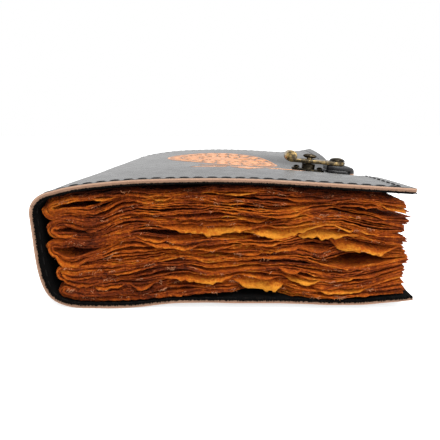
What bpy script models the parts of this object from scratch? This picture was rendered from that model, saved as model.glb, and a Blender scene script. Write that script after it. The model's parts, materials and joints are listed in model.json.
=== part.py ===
"""Prayer book: limp leather wrap cover, sewn signatures of folded rag paper, strap with turn-lock hasp.

Metres, +Z up. The closed book lies on its back cover with its origin under the middle of its box:
-X is the spine, +X the fore-edge, -Y the tail edge and +Y the head.
"""
import math

import bmesh
import bpy
from mathutils import Matrix, Vector

# Cover: one hide wrapped round the pages, lined with a thinner hide
HEIGHT = 0.203
LEATHER = 0.0017
LINING = 0.0010
CLEARANCE = 0.0003
FRONT_EDGE_X = 0.0777
FRONT_EDGE_Z = 0.0524
FRONT_CROWN = 0.0055
HINGE_X = -0.0695
HINGE_Z = 0.0512
SPINE_X = -0.0803
SPINE_WIDEST_Z = 0.0410
SHOULDER_PULL = 0.0060
SHOULDER_DROP = 0.0008
SHOULDER_ROUND = 0.0060
HEEL_LEAN = 0.0009
HEEL_PULL = 0.0330
HEEL_ROUND = 0.0210
REST_START_X = -0.0580
REST_END_X = 0.0405
BACK_EDGE_X = 0.0808
BACK_EDGE_RISE = 0.0030

# The strap draws the front cover down at mid-height, and its head corner curls up
STRAP_SAG = 0.0060
SAG_START_X = -0.0500
SAG_MARGIN = 0.0120
SAG_POWER = 4
SAG_ROW = 0.0550
CORNER_CURL = 0.0055
CURL_START_X = 0.0400

# Pages: folded sheets nested into signatures, counted from the front cover
FOLIOS = (5, 4, 6, 5, 5)
PAPER = 0.0004
PAGE_CLEARANCE = 0.0006
FOLDS_X = (-0.0712, -0.0699, -0.0709, -0.0682, -0.0674)
PAGE_EDGE_X = 0.0752
PAGE_HEIGHT = 0.1976
DECKLE = 0.0012
PAGE_LIFT = 0.0040
PAGE_LIFT_SPAN = 0.0900
TOP_STEP = 0.0055
TOP_STEP_LEVELS = 7
THREAD_RADIUS = 0.00028
THREAD_HOLE = 0.00060
STATION_Y = 0.0600

# Strap: sewn inside the back cover, up the fore-edge and over the front cover
STRAP = 0.0026
STRAP_WIDTH = 0.0160
STRAP_BEND = 0.0030
STRAP_TOP_Z = 0.0519
TAB_LENGTH = 0.0133
ANCHOR = 0.0018
ANCHOR_LENGTH = 0.0160
ANCHOR_RAMP = 0.0190

# Turn lock: base plate with a boss, riveted to the front cover, and an oval knob
KNOB_X = 0.0534
BASE_LENGTH = 0.0210
BASE_WIDTH = 0.0120
BASE_PLATE = 0.0012
BOSS_RADIUS = 0.0042
BOSS_HEIGHT = 0.0047
NECK_RADIUS = 0.0018
NECK_DEPTH = 0.0022
KNOB_BOTTOM = 0.0080
KNOB_LENGTH = 0.0087
KNOB_WIDTH = 0.0048
KNOB_HEIGHT = 0.0030
BASE_RIVET_SPACING = 0.0150
BASE_RIVET_HEAD = 0.0021
BASE_RIVET_RISE = 0.0014
BASE_RIVET_SHANK = 0.0010

# Hasp: slotted plate with a rolled finger lip, riveted to the strap's tab
HASP_SLOPE = math.radians(4.6)
HASP_PLATE = 0.0022
HASP_WIDTH = 0.0140
HASP_NECK_WIDTH = 0.0110
HASP_END_GAP = 0.0012
SLOT_LENGTH = 0.0112
SLOT_WIDTH = 0.0064
LIP_RADIUS = 0.0035
LIP_REACH = 0.0361
HASP_RIVET_INSET = 0.0052
HASP_RIVET_HEAD = 0.0048
HASP_RIVET_RISE = 0.0027
HASP_RIVET_SHANK = 0.0015
HASP_RIVET_TAIL = 0.0030
HASP_RIVET_CLENCH = 0.0010

# Worked out from the sizes above
HALF_HEIGHT = HEIGHT / 2
COVER = LEATHER + CLEARANCE + LINING
CUT = CLEARANCE / 2
STRAP_ZONE = STRAP_WIDTH / 2 + SAG_MARGIN
LEVELS = sum(2 * count + 1 for count in FOLIOS)
LEAF_STEPS = 6
FOLD_STEPS = 6
LOW_SIGNATURES = 3

for old in list(bpy.data.objects):
    bpy.data.objects.remove(old)
book = bpy.data.collections.new("prayer_book")
cutters = bpy.data.collections.new("cutters")
bpy.context.scene.collection.children.link(book)
bpy.context.scene.collection.children.link(cutters)


def material(name, colour, roughness, metallic=0.0):
    """A plain Principled material; colour is linear."""
    made = bpy.data.materials.new(name)
    made.use_nodes = True
    shader = made.node_tree.nodes["Principled BSDF"]
    shader.inputs["Base Color"].default_value = (*colour, 1.0)
    shader.inputs["Roughness"].default_value = roughness
    shader.inputs["Metallic"].default_value = metallic
    return made


BLACK_LEATHER = material("black_leather", (0.035, 0.034, 0.035), 0.45)
BLACK_LINING = material("black_lining", (0.012, 0.011, 0.010), 0.85)
RAG_PAPER = material("rag_paper", (0.35, 0.13, 0.035), 0.9)
LINEN_THREAD = material("linen_thread", (0.02, 0.018, 0.016), 0.7)
ANTIQUE_BRASS = material("antique_brass", (0.42, 0.27, 0.11), 0.35, 1.0)


def add(name, mesh, look):
    """An object of the book from a mesh."""
    made = bpy.data.objects.new(name, mesh)
    made.data.materials.append(look)
    book.objects.link(made)
    return made


def mesh_from(shape, name):
    """Turn a bmesh into a mesh."""
    mesh = bpy.data.meshes.new(name)
    shape.to_mesh(mesh)
    shape.free()
    return mesh


def pivot(name, place, turn=0.0):
    """An empty on a joint's axis, or on a frame turned about Y."""
    empty = bpy.data.objects.new(name, None)
    empty.matrix_world = Matrix.Translation(place) @ Matrix.Rotation(turn, 4, "Y")
    book.objects.link(empty)
    return empty


def hang(piece, empty, keep=True):
    """Parent a piece to an empty, in its world place or, with keep off, in the empty's own frame."""
    piece.parent = empty
    if keep:
        piece.matrix_parent_inverse = empty.matrix_world.inverted()
    return piece


def boolean(piece, other, operation="DIFFERENCE"):
    """Cut a piece by another, or join the other to it."""
    step = piece.modifiers.new(f"{operation.lower()}_{other.name}", "BOOLEAN")
    step.operation = operation
    step.object = other


def helper(name, mesh, empty=None):
    """A hidden solid that cuts or joins other pieces."""
    made = bpy.data.objects.new(name, mesh)
    cutters.objects.link(made)
    made.hide_render = True
    made.display_type = "WIRE"
    if empty:
        made.parent = empty
    return made


def rods(name, places, radius, low, high, axis="Z", sides=10):
    """Parallel round rods as one mesh: along Z from low to high, or along X."""
    shape = bmesh.new()
    turn = Matrix.Rotation(math.pi / 2, 4, "Y") if axis == "X" else Matrix.Identity(4)
    middle = (low + high) / 2
    along = Vector((middle, 0, 0)) if axis == "X" else Vector((0, 0, middle))
    for place in places:
        bmesh.ops.create_cone(shape, cap_ends=True, segments=sides, radius1=radius, radius2=radius,
                              depth=high - low, matrix=Matrix.Translation(Vector(place) + along) @ turn)
    return mesh_from(shape, name)


def prism(name, outline, low, high, axis="Z"):
    """A flat outline pushed along Z, or an X-Z outline pushed along Y."""
    shape = bmesh.new()
    push = Vector((0, 0, high - low)) if axis == "Z" else Vector((0, high - low, 0))
    corners = [shape.verts.new((a, b, low) if axis == "Z" else (a, low, b)) for a, b in outline]
    edges = [shape.edges.new(pair) for pair in zip(corners, corners[1:] + corners[:1])]
    face = bmesh.ops.edgeloop_fill(shape, edges=edges)["faces"]
    pushed = bmesh.ops.extrude_face_region(shape, geom=face)["geom"]
    bmesh.ops.translate(shape, vec=push, verts=[v for v in pushed if isinstance(v, bmesh.types.BMVert)])
    bmesh.ops.recalc_face_normals(shape, faces=shape.faces[:])
    return mesh_from(shape, name)


def turned(name, profile, look, steps=14):
    """A round piece: a profile in X-Z, from its top down its outer side, spun about Z."""
    shape = bmesh.new()
    points = [shape.verts.new((radius, 0, height)) for radius, height in profile]
    for start, end in zip(points, points[1:]):
        shape.edges.new((start, end))
    piece = add(name, mesh_from(shape, name), look)
    spin = piece.modifiers.new("spin", "SCREW")
    spin.steps = steps
    spin.render_steps = steps
    spin.use_merge_vertices = True
    spin.merge_threshold = 0.00001
    return piece


def arc(centre, radius, start, end, steps):
    """Points along an arc in a plane; angles in degrees."""
    points = []
    for step in range(steps + 1):
        angle = math.radians(start + (end - start) * step / steps)
        points.append((centre[0] + radius * math.cos(angle), centre[1] + radius * math.sin(angle)))
    return points


def ease(value):
    """A smooth rise from 0 to 1."""
    value = min(1.0, max(0.0, value))
    return value * value * (3 - 2 * value)


def bezier(start, pull, tug, end, steps):
    """Points along a cubic curve."""
    points = []
    for step in range(steps + 1):
        t = step / steps
        point = Vector(start) * (1 - t) ** 3 + Vector(pull) * 3 * t * (1 - t) ** 2
        point += Vector(tug) * 3 * t * t * (1 - t) + Vector(end) * t ** 3
        points.append((point.x, point.y))
    return points


def front_z(x):
    """Outer face of the front cover at the tail edge: a crown that leans toward the spine."""
    share = max(0.0, (x - HINGE_X) / (FRONT_EDGE_X - HINGE_X))
    return HINGE_Z + (FRONT_EDGE_Z - HINGE_Z) * share + FRONT_CROWN * math.sin(math.pi * share ** 0.75)


def sag(x, y):
    """How far the front cover lies below its tail edge: drawn down by the strap, up at the head corner."""
    across = ease((x - SAG_START_X) / (FRONT_EDGE_X - SAG_START_X))
    along = min(1.0, (HALF_HEIGHT - abs(y)) / (HALF_HEIGHT - STRAP_ZONE)) ** SAG_POWER
    corner = max(0.0, (x - CURL_START_X) / (FRONT_EDGE_X - CURL_START_X)) ** 2
    head = max(0.0, (y - STRAP_ZONE) / (HALF_HEIGHT - STRAP_ZONE))
    return STRAP_SAG * across * along - CORNER_CURL * corner * head


# Heel of the spine in X-Z, from its widest point round to the flat that the book rests on
WIDEST = (SPINE_X, SPINE_WIDEST_Z)
heel_start = (SPINE_X + HEEL_LEAN, SPINE_WIDEST_Z - HEEL_PULL)
heel_end = (REST_START_X - HEEL_ROUND, 0)
heel = bezier(WIDEST, heel_start, heel_end, (REST_START_X, 0), 40)


def back_z(x):
    """Outer face of the back cover: round at the heel, flat where it rests, rising to its fore-edge."""
    for start, end in zip(heel, heel[1:]):
        if start[0] <= x < end[0]:
            return start[1] + (end[1] - start[1]) * (x - start[0]) / (end[0] - start[0])
    return BACK_EDGE_RISE * max(0.0, (x - REST_END_X) / (BACK_EDGE_X - REST_END_X)) ** 2


def page_z(x, y, share):
    """Height of the pages, from share 0 under the last leaf to 1 over the first."""
    lift = PAGE_LIFT * math.cos(math.pi * x / PAGE_LIFT_SPAN) ** 2 if abs(x) < PAGE_LIFT_SPAN / 2 else 0.0
    anchor_x = BACK_EDGE_X - ANCHOR_LENGTH
    over_anchor = (ANCHOR + CLEARANCE) * ease(1 + (x - anchor_x) / ANCHOR_RAMP)
    bottom = back_z(x) + COVER + PAGE_CLEARANCE + lift + over_anchor
    top = front_z(x) - COVER - PAGE_CLEARANCE - max(0.0, sag(x, y))
    return bottom + share * (top - bottom)


def level_share(level):
    """Share of the page stack's height at a leaf, counted from the top."""
    return 1 - (level + 0.5) / LEVELS


# Outer profile of the cover in X-Z, from the front fore-edge round the spine to the back fore-edge
HINGE = (HINGE_X, front_z(HINGE_X))
shoulder_start = (HINGE_X - SHOULDER_PULL, HINGE[1] - SHOULDER_DROP)
shoulder_end = (SPINE_X, SPINE_WIDEST_Z + SHOULDER_ROUND)
shoulder = bezier(HINGE, shoulder_start, shoulder_end, WIDEST, 6)
gutter_level = sum(2 * count + 1 for count in FOLIOS[:-LOW_SIGNATURES])
gutter_z = page_z(FOLDS_X[-LOW_SIGNATURES], 0, 1 - gutter_level / LEVELS)
above_gutter = [point for point in heel if point[1] > gutter_z + CLEARANCE]
below_gutter = [point for point in heel if point[1] < gutter_z - CLEARANCE]
before, after = above_gutter[-1], below_gutter[0]
blend = (before[1] - gutter_z) / (before[1] - after[1])
GUTTER = (before[0] + blend * (after[0] - before[0]), gutter_z)
front_steps = 16
front_path = []
for step in range(front_steps + 1):
    front_x = FRONT_EDGE_X + (HINGE_X - FRONT_EDGE_X) * step / front_steps
    front_path.append((front_x, front_z(front_x)))
spine_path = shoulder[:-1] + above_gutter[::2] + [GUTTER]
rise_steps = 4
back_path = [GUTTER] + below_gutter[2::3] + [(REST_START_X, 0), (REST_END_X, 0)]
for step in range(1, rise_steps + 1):
    rise_x = REST_END_X + (BACK_EDGE_X - REST_END_X) * step / rise_steps
    back_path.append((rise_x, back_z(rise_x)))


def inward(path, depth):
    """A path moved toward the pages by a depth."""
    moved = []
    for index, (x, z) in enumerate(path):
        start = path[max(0, index - 1)]
        end = path[min(len(path) - 1, index + 1)]
        along = Vector((end[0] - start[0], end[1] - start[1])).normalized()
        moved.append((x - along.y * depth, z + along.x * depth))
    return moved


def trimmed(path, first, last):
    """A path with its first or last end drawn back by half a clearance, for a flex line."""
    points = [Vector(point) for point in path]
    if first:
        points[0] += (points[1] - points[0]).normalized() * CUT
    if last:
        points[-1] += (points[-2] - points[-1]).normalized() * CUT
    return [(point.x, point.y) for point in points]


def sheet(name, count, rows, place, thickness, look):
    """A sheet: a grid whose points place(index, y) sets, given its thickness on both sides."""
    shape = bmesh.new()
    bmesh.ops.create_grid(shape, x_segments=count - 1, y_segments=len(rows) - 1, size=0.5)
    for vert in shape.verts:
        index = round((vert.co.x + 0.5) * (count - 1))
        row = round((vert.co.y + 0.5) * (len(rows) - 1))
        vert.co = place(index, rows[row])
    bmesh.ops.triangulate(shape, faces=shape.faces[:], quad_method="SHORT_EDGE")
    piece = add(name, mesh_from(shape, name), look)
    shell = piece.modifiers.new("thickness", "SOLIDIFY")
    shell.thickness = thickness
    shell.offset = 0.0
    shell.use_even_offset = True
    return piece


def strip(name, path, half_width, thickness, look):
    """A straight strip along a path in X-Z."""
    return sheet(name, len(path), (-half_width, half_width),
                 lambda index, y: Vector((path[index][0], y, path[index][1])), thickness, look)


def cover_layer(name, path, outer, thickness, rows, look, drawn_down=False):
    """One hide of one part of the cover, at a depth from the outer face."""
    middle = inward(path, outer + thickness / 2)

    def place(index, y):
        x, z = middle[index]
        return Vector((x, y, z - sag(path[index][0], y) if drawn_down else z))

    return sheet(name, len(path), rows, place, thickness, look)


# Axes of the moving pieces
front_pivot = pivot("front_cover_axis", (HINGE[0], 0, HINGE[1]))
gutter_pivot = pivot("book_opening_axis", (GUTTER[0], 0, GUTTER[1]))
STRAP_TOP = (BACK_EDGE_X - STRAP_BEND, STRAP_TOP_Z)
hasp_pivot = pivot("hasp_axis", (STRAP_TOP[0], 0, STRAP_TOP[1]), HASP_SLOPE)
knob_z = front_z(KNOB_X) - sag(KNOB_X, 0)
beside_x = KNOB_X + BOSS_RADIUS
knob_rise = front_z(beside_x) - sag(beside_x, 0) - knob_z
lock_pivot = pivot("lock_axis", (KNOB_X, 0, knob_z), -math.atan2(knob_rise, BOSS_RADIUS))

# Cover leather and lining, in three lengths that meet at the two flex lines
ends = (-HALF_HEIGHT, HALF_HEIGHT)
drawn_rows = (-HALF_HEIGHT, -SAG_ROW, -STRAP_ZONE, STRAP_ZONE, SAG_ROW, HALF_HEIGHT)
front_trim = trimmed(front_path, False, True)
spine_trim = trimmed(spine_path, True, True)
back_trim = trimmed(back_path, True, False)
lining_depth = LEATHER + CLEARANCE
front_leather = cover_layer("front_leather", front_trim, 0, LEATHER, drawn_rows, BLACK_LEATHER, True)
front_lining = cover_layer("front_lining", front_trim, lining_depth, LINING, drawn_rows, BLACK_LINING, True)
spine_leather = cover_layer("spine_leather", spine_trim, 0, LEATHER, ends, BLACK_LEATHER)
spine_lining = cover_layer("spine_lining", spine_trim, lining_depth, LINING, ends, BLACK_LINING)
back_leather = cover_layer("back_leather", back_trim, 0, LEATHER, ends, BLACK_LEATHER)
back_lining = cover_layer("back_lining", back_trim, lining_depth, LINING, ends, BLACK_LINING)
for piece in (front_leather, front_lining):
    hang(piece, front_pivot)
for piece in (spine_leather, spine_lining):
    hang(piece, gutter_pivot)


def leaf_edge_x(level):
    """Fore-edge of one leaf: ragged, and stepped back over the topmost leaves."""
    stepped = TOP_STEP * max(0.0, 1 - level / TOP_STEP_LEVELS)
    return PAGE_EDGE_X + DECKLE * math.sin(2.1 * level) - stepped


def folio(name, fold_x, upper, lower):
    """One folded sheet: a leaf at the upper level, a round fold at the spine, a leaf at the lower level."""
    count = 2 * LEAF_STEPS + FOLD_STEPS + 1

    def place(index, y):
        if index <= LEAF_STEPS:
            x = leaf_edge_x(upper) + (fold_x - leaf_edge_x(upper)) * index / LEAF_STEPS
            return Vector((x, y, page_z(x, y, level_share(upper))))
        if index >= LEAF_STEPS + FOLD_STEPS:
            x = fold_x + (leaf_edge_x(lower) - fold_x) * (index - LEAF_STEPS - FOLD_STEPS) / LEAF_STEPS
            return Vector((x, y, page_z(x, y, level_share(lower))))
        top = page_z(fold_x, y, level_share(upper))
        bottom = page_z(fold_x, y, level_share(lower))
        angle = math.pi * (index - LEAF_STEPS) / FOLD_STEPS
        radius = (top - bottom) / 2
        return Vector((fold_x - radius * math.sin(angle), y, (top + bottom) / 2 + radius * math.cos(angle)))

    reach = (PAGE_HEIGHT + DECKLE * math.sin(1.7 * upper)) / 2
    return sheet(name, count, (-reach, -STRAP_ZONE, STRAP_ZONE, reach), place, PAPER, RAG_PAPER)


def spine_face_x(z):
    """Outer face of the spine at a height."""
    path = spine_path + back_path[1:]
    for start, end in zip(path, path[1:]):
        if end[1] <= z <= start[1]:
            return start[0] + (end[0] - start[0]) * (start[1] - z) / (start[1] - end[1])
    return SPINE_X


def thread_loop(name, fold_x, z):
    """A sewing thread: along the middle of the fold, out through the spine, back along its outer face."""
    outer = spine_face_x(z) - CLEARANCE - THREAD_RADIUS
    turn = 3 * THREAD_RADIUS
    corners = []
    for x, y in ((fold_x, -STATION_Y), (fold_x, STATION_Y), (outer, STATION_Y), (outer, -STATION_Y)):
        inner_x = x + math.copysign(turn, (fold_x + outer) / 2 - x)
        inner_y = y - math.copysign(turn, y)
        pair = [(x, inner_y, z), (inner_x, y, z)]
        corners += pair if (x == fold_x) == (y > 0) else pair[::-1]
    curve = bpy.data.curves.new(name, "CURVE")
    curve.dimensions = "3D"
    curve.bevel_depth = THREAD_RADIUS
    curve.bevel_resolution = 1
    spline = curve.splines.new("POLY")
    spline.points.add(len(corners) - 1)
    for point, corner in zip(spline.points, corners):
        point.co = (*corner, 1.0)
    spline.use_cyclic_u = True
    return add(name, curve, LINEN_THREAD)


# Signatures: nested folded sheets, each signature sewn through the spine at two stations
level = 0
for number, (count, fold_x) in enumerate(zip(FOLIOS, FOLDS_X), 1):
    upper_half = number <= len(FOLIOS) - LOW_SIGNATURES
    middle = level + count
    z = page_z(fold_x, STATION_Y, level_share(middle))
    stations = [(0, -STATION_Y, z), (0, STATION_Y, z)]
    hole_start = spine_face_x(z) - LEATHER
    hole_mesh = rods("sewing_holes", stations, THREAD_HOLE, hole_start, fold_x, "X", 6)
    holes = helper(f"sewing_holes_{number}", hole_mesh)
    pieces = [thread_loop(f"sewing_thread_{number}", fold_x, z)]
    for nested in range(count, 0, -1):
        sheet_name = f"signature_{number}_sheet_{count - nested + 1}"
        pieces.append(folio(sheet_name, fold_x, middle - nested, middle + nested))
        boolean(pieces[-1], holes)
    for hide in (spine_leather, spine_lining) if upper_half else (back_leather, back_lining):
        boolean(hide, holes)
    if upper_half:
        for piece in pieces:
            hang(piece, gutter_pivot)
    level += 2 * count + 1

# Strap: sewn under the last leaves, up the fore-edge, over the bend and onto the hasp
half_strap = STRAP_WIDTH / 2
anchor_steps = 3
anchor_path = []
for step in range(anchor_steps + 1):
    anchor_x = BACK_EDGE_X - ANCHOR_LENGTH * (1 - step / anchor_steps)
    anchor_path.append((anchor_x, back_z(anchor_x) + COVER + CLEARANCE + ANCHOR / 2))
strip("strap_anchor", anchor_path, half_strap, ANCHOR, BLACK_LEATHER)
bend_centre = (STRAP_TOP[0], STRAP_TOP[1] - STRAP_BEND)
drop_path = arc(bend_centre, STRAP_BEND - STRAP / 2, 90, 0, 5)
drop_path.append((drop_path[-1][0], anchor_path[-1][1] + ANCHOR / 2 + CLEARANCE))
drop_path = trimmed(drop_path, True, False)
strap_drop = strip("strap_drop", drop_path, half_strap, STRAP, BLACK_LEATHER)
hang(strap_drop, front_pivot)
tab_corner = STRAP_WIDTH / 4
tab_outline = [(-CUT, -half_strap), (-CUT, half_strap)]
tab_outline += arc((-TAB_LENGTH + tab_corner, half_strap - tab_corner), tab_corner, 90, 180, 4)
tab_outline += arc((-TAB_LENGTH + tab_corner, tab_corner - half_strap), tab_corner, 180, 270, 4)
strap_tab = add("strap_tab", prism("strap_tab", tab_outline, -STRAP, 0), BLACK_LEATHER)
hang(strap_tab, hasp_pivot, keep=False)


def rivet(name, place, empty, head, shank, tail):
    """A domed rivet: head (radius, rise, seat), shank radius and tail (radius, thickness, seat)."""
    dome = [(head[0] * math.sin(angle), head[2] + head[1] * math.cos(angle))
            for angle in (math.pi / 2 * step / 4 for step in range(5))]
    profile = dome + [(shank, head[2]), (shank, tail[2]), (tail[0], tail[2]), (tail[0], tail[2] - tail[1])]
    profile.append((0, tail[2] - tail[1]))
    piece = hang(turned(name, profile, ANTIQUE_BRASS), empty, keep=False)
    piece.location = place
    return piece


# Hasp: the plate's side view, trimmed to its plan, slotted for the knob and riveted to the tab
plate_low = CLEARANCE
plate_high = CLEARANCE + HASP_PLATE
lip_centre = (-LIP_REACH, plate_low + LIP_RADIUS)
lip_join = math.degrees(math.asin((plate_high - lip_centre[1]) / LIP_RADIUS))
side_view = [(-HASP_END_GAP, plate_low)] + arc(lip_centre, LIP_RADIUS, -90, lip_join - 360, 12)
side_view.append((-HASP_END_GAP, plate_high))
hasp_plate = add("hasp_plate", prism("hasp_plate", side_view, -HASP_WIDTH, HASP_WIDTH, "Y"), ANTIQUE_BRASS)
end_radius = HASP_WIDTH / 2
lip_end = -LIP_REACH - 2 * LIP_RADIUS
plan_view = arc((-HASP_END_GAP - end_radius, 0), end_radius, -90, 90, 10)
plan_view += [(lip_end, HASP_NECK_WIDTH / 2), (lip_end, -HASP_NECK_WIDTH / 2)]
plan_top = plate_low + 3 * LIP_RADIUS
hasp_plan = helper("hasp_plan", prism("hasp_plan", plan_view, -STRAP, plan_top), hasp_pivot)
boolean(hasp_plate, hasp_plan, "INTERSECT")
slot_x = (KNOB_X - STRAP_TOP[0]) / math.cos(HASP_SLOPE)
slot_round = SLOT_WIDTH / 2
slot_run = SLOT_LENGTH / 2 - slot_round
slot_view = arc((slot_x + slot_run, 0), slot_round, -90, 90, 6)
slot_view += arc((slot_x - slot_run, 0), slot_round, 90, 270, 6)
boolean(hasp_plate, helper("hasp_slot", prism("hasp_slot", slot_view, -STRAP, plan_top), hasp_pivot))
rivet_x = -HASP_END_GAP - HASP_RIVET_INSET + CLEARANCE
rivet_hole = rods("hasp_rivet_hole", [(rivet_x, 0, 0)], HASP_RIVET_SHANK + CLEARANCE, -2 * STRAP, plan_top)
rivet_cut = helper("hasp_rivet_hole", rivet_hole, hasp_pivot)
for piece in (hasp_plate, strap_tab):
    boolean(piece, rivet_cut)
hang(hasp_plate, hasp_pivot, keep=False)
rivet("hasp_rivet", (rivet_x, 0, 0), hasp_pivot, (HASP_RIVET_HEAD, HASP_RIVET_RISE, plate_high + CLEARANCE),
      HASP_RIVET_SHANK, (HASP_RIVET_TAIL, HASP_RIVET_CLENCH, -STRAP - CLEARANCE))

# Turn lock: base plate with a bored boss, two rivets through the front cover, and the knob in the bore
base_round = BASE_WIDTH / 2
base_run = BASE_LENGTH / 2 - base_round
base_view = arc((base_run, 0), base_round, -90, 90, 8) + arc((-base_run, 0), base_round, 90, 270, 8)
base_top = CLEARANCE + BASE_PLATE
lock_base = add("lock_base", prism("lock_base", base_view, CLEARANCE, base_top), ANTIQUE_BRASS)
axis_place = [(0, 0, 0)]
boss_foot = base_top - BASE_PLATE / 2
boss_mesh = rods("lock_boss", axis_place, BOSS_RADIUS, boss_foot, BOSS_HEIGHT, sides=20)
boolean(lock_base, helper("lock_boss", boss_mesh, lock_pivot), "UNION")
bore_radius = NECK_RADIUS + CLEARANCE
bore_floor = NECK_DEPTH - CLEARANCE
bore_mesh = rods("lock_bore", axis_place, bore_radius, bore_floor, 2 * BOSS_HEIGHT, sides=16)
boolean(lock_base, helper("lock_bore", bore_mesh, lock_pivot))
rivet_places = [(side * BASE_RIVET_SPACING / 2, 0, 0) for side in (-1, 1)]
shank_hole = BASE_RIVET_SHANK + CLEARANCE
tail_radius = BASE_RIVET_HEAD - CLEARANCE
shank_mesh = rods("base_rivet_holes", rivet_places, shank_hole, -2 * COVER, BOSS_HEIGHT)
shank_cut = helper("base_rivet_holes", shank_mesh, lock_pivot)
tail_mesh = rods("base_rivet_seats", rivet_places, tail_radius + CLEARANCE, -2 * COVER, 0)
tail_cut = helper("base_rivet_seats", tail_mesh, lock_pivot)
boolean(lock_base, shank_cut)
boolean(front_leather, shank_cut)
boolean(front_lining, tail_cut)
hang(lock_base, lock_pivot, keep=False)
for number, place in enumerate(rivet_places, 1):
    rivet(f"lock_base_rivet_{number}", place, lock_pivot,
          (BASE_RIVET_HEAD, BASE_RIVET_RISE, base_top + CLEARANCE),
          BASE_RIVET_SHANK, (tail_radius, LINING - CUT, -LEATHER - CLEARANCE))
knob_shape = bmesh.new()
knob_size = Matrix.Diagonal((KNOB_LENGTH / 2, KNOB_WIDTH / 2, KNOB_HEIGHT / 2, 1))
knob_middle = KNOB_BOTTOM + KNOB_HEIGHT / 2
bmesh.ops.create_uvsphere(knob_shape, u_segments=16, v_segments=8, radius=1,
                          matrix=Matrix.Translation((0, 0, knob_middle)) @ knob_size)
turn_knob = add("turn_knob", mesh_from(knob_shape, "turn_knob"), ANTIQUE_BRASS)
neck_mesh = rods("knob_neck", axis_place, NECK_RADIUS, NECK_DEPTH, knob_middle, sides=14)
boolean(turn_knob, helper("knob_neck", neck_mesh, lock_pivot), "UNION")
hang(turn_knob, lock_pivot, keep=False)
hang(lock_pivot, front_pivot)
hang(hasp_pivot, front_pivot)
hang(front_pivot, gutter_pivot)
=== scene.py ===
import json
import math
import random

import bmesh
import bpy
import numpy as np
from mathutils import Matrix, Vector, noise


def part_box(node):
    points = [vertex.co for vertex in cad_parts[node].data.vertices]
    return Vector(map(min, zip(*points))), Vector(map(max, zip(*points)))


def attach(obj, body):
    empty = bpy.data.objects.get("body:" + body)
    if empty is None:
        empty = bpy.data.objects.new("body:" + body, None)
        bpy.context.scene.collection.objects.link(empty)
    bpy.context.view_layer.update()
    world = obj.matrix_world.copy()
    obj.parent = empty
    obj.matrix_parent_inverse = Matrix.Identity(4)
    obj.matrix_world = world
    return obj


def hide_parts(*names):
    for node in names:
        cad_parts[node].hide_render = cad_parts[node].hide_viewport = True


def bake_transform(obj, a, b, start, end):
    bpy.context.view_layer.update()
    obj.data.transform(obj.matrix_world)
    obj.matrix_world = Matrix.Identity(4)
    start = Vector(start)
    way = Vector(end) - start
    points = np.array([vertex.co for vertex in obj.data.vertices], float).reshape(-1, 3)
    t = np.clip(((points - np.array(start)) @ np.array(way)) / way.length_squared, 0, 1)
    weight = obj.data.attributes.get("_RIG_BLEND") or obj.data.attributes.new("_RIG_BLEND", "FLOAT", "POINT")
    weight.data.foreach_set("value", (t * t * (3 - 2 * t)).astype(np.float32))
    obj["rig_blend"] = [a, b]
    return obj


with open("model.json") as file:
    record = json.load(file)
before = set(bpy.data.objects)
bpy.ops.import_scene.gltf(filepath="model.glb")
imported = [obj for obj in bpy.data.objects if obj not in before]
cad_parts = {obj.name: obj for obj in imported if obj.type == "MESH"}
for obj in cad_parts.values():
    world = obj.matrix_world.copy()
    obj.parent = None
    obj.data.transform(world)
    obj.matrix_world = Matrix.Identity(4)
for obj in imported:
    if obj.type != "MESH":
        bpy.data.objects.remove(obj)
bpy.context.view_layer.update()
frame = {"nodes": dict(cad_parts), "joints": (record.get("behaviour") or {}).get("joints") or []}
axes = {joint["name"]: Vector(joint["pos_m"]) for joint in frame["joints"]}

# Outer hide: full-grain cowhide, dyed black on the grain side only, so that its knife-cut edge stays tan.
# It is cut flat as one piece, then wrapped round the pages from the front fore-edge to the back fore-edge,
# and it flexes at the shoulder of the spine and at the middle of the spine.
HALF_HEIGHT = 0.1015
FRONT_EDGE_X = 0.0777
FRONT_EDGE_Z = 0.0524
FRONT_CROWN = 0.0055
CROWN_LEAN = 0.75
HINGE_X = axes["front_cover_hinge"].x
HINGE_Z = axes["front_cover_hinge"].z
SHOULDER_REACH = 0.0060
SHOULDER_DROP = 0.0008
SPINE_X = -0.0803
SPINE_WIDEST_Z = 0.0410
HEEL_LEAN = 0.0009
HEEL_PULL = 0.0330
HEEL_TUG = 0.0210
REST_START_X = -0.0580
REST_END_X = 0.0405
BACK_EDGE_X = 0.0808
BACK_EDGE_RISE = 0.0030
FRONT_STEPS = 80
SHOULDER_STEPS = 24
HEEL_STEPS = 40
BACK_STEPS = 70
SEAM_PAST_HINGE = 0.0125


def clamp(value):
    """A value held between 0 and 1."""
    return min(1.0, max(0.0, value))


def ease(value):
    """A smooth rise from 0 to 1."""
    value = clamp(value)
    return value * value * (3 - 2 * value)


def ramp(value, span):
    """A smooth rise from 0 at the start of a span (start, length) to 1 at its end."""
    start, length = span
    return ease((value - start) / length)


def waver(x, y, z):
    """A smooth random value between -1 and 1."""
    return noise.noise(Vector((x, y, z)))


def bezier(start, pull, tug, end, steps):
    """Points along a cubic curve."""
    points = []
    for step in range(steps + 1):
        t = step / steps
        point = Vector(start) * (1 - t) ** 3 + Vector(pull) * 3 * t * (1 - t) ** 2
        point += Vector(tug) * 3 * t * t * (1 - t) + Vector(end) * t ** 3
        points.append((point.x, point.y))
    return points


STRAP_SAG = 0.0060
STRAP_ZONE = 0.0200
SAG_START_X = -0.0500
CORNER_CURL = 0.0055
CURL_START_X = 0.0400
CORNER_PULL = 0.0032
TAIL_START_Y = 0.0550
TAIL_DROOP = 0.0007


def front_share(x):
    """Place across the front cover: 0 at its hinge, 1 at its fore-edge."""
    return (x - HINGE_X) / (FRONT_EDGE_X - HINGE_X)


def tail_share(y):
    """0 over most of the cover, rising to 1 at its tail edge."""
    return ease((-y - TAIL_START_Y) / (HALF_HEIGHT - TAIL_START_Y))


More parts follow.
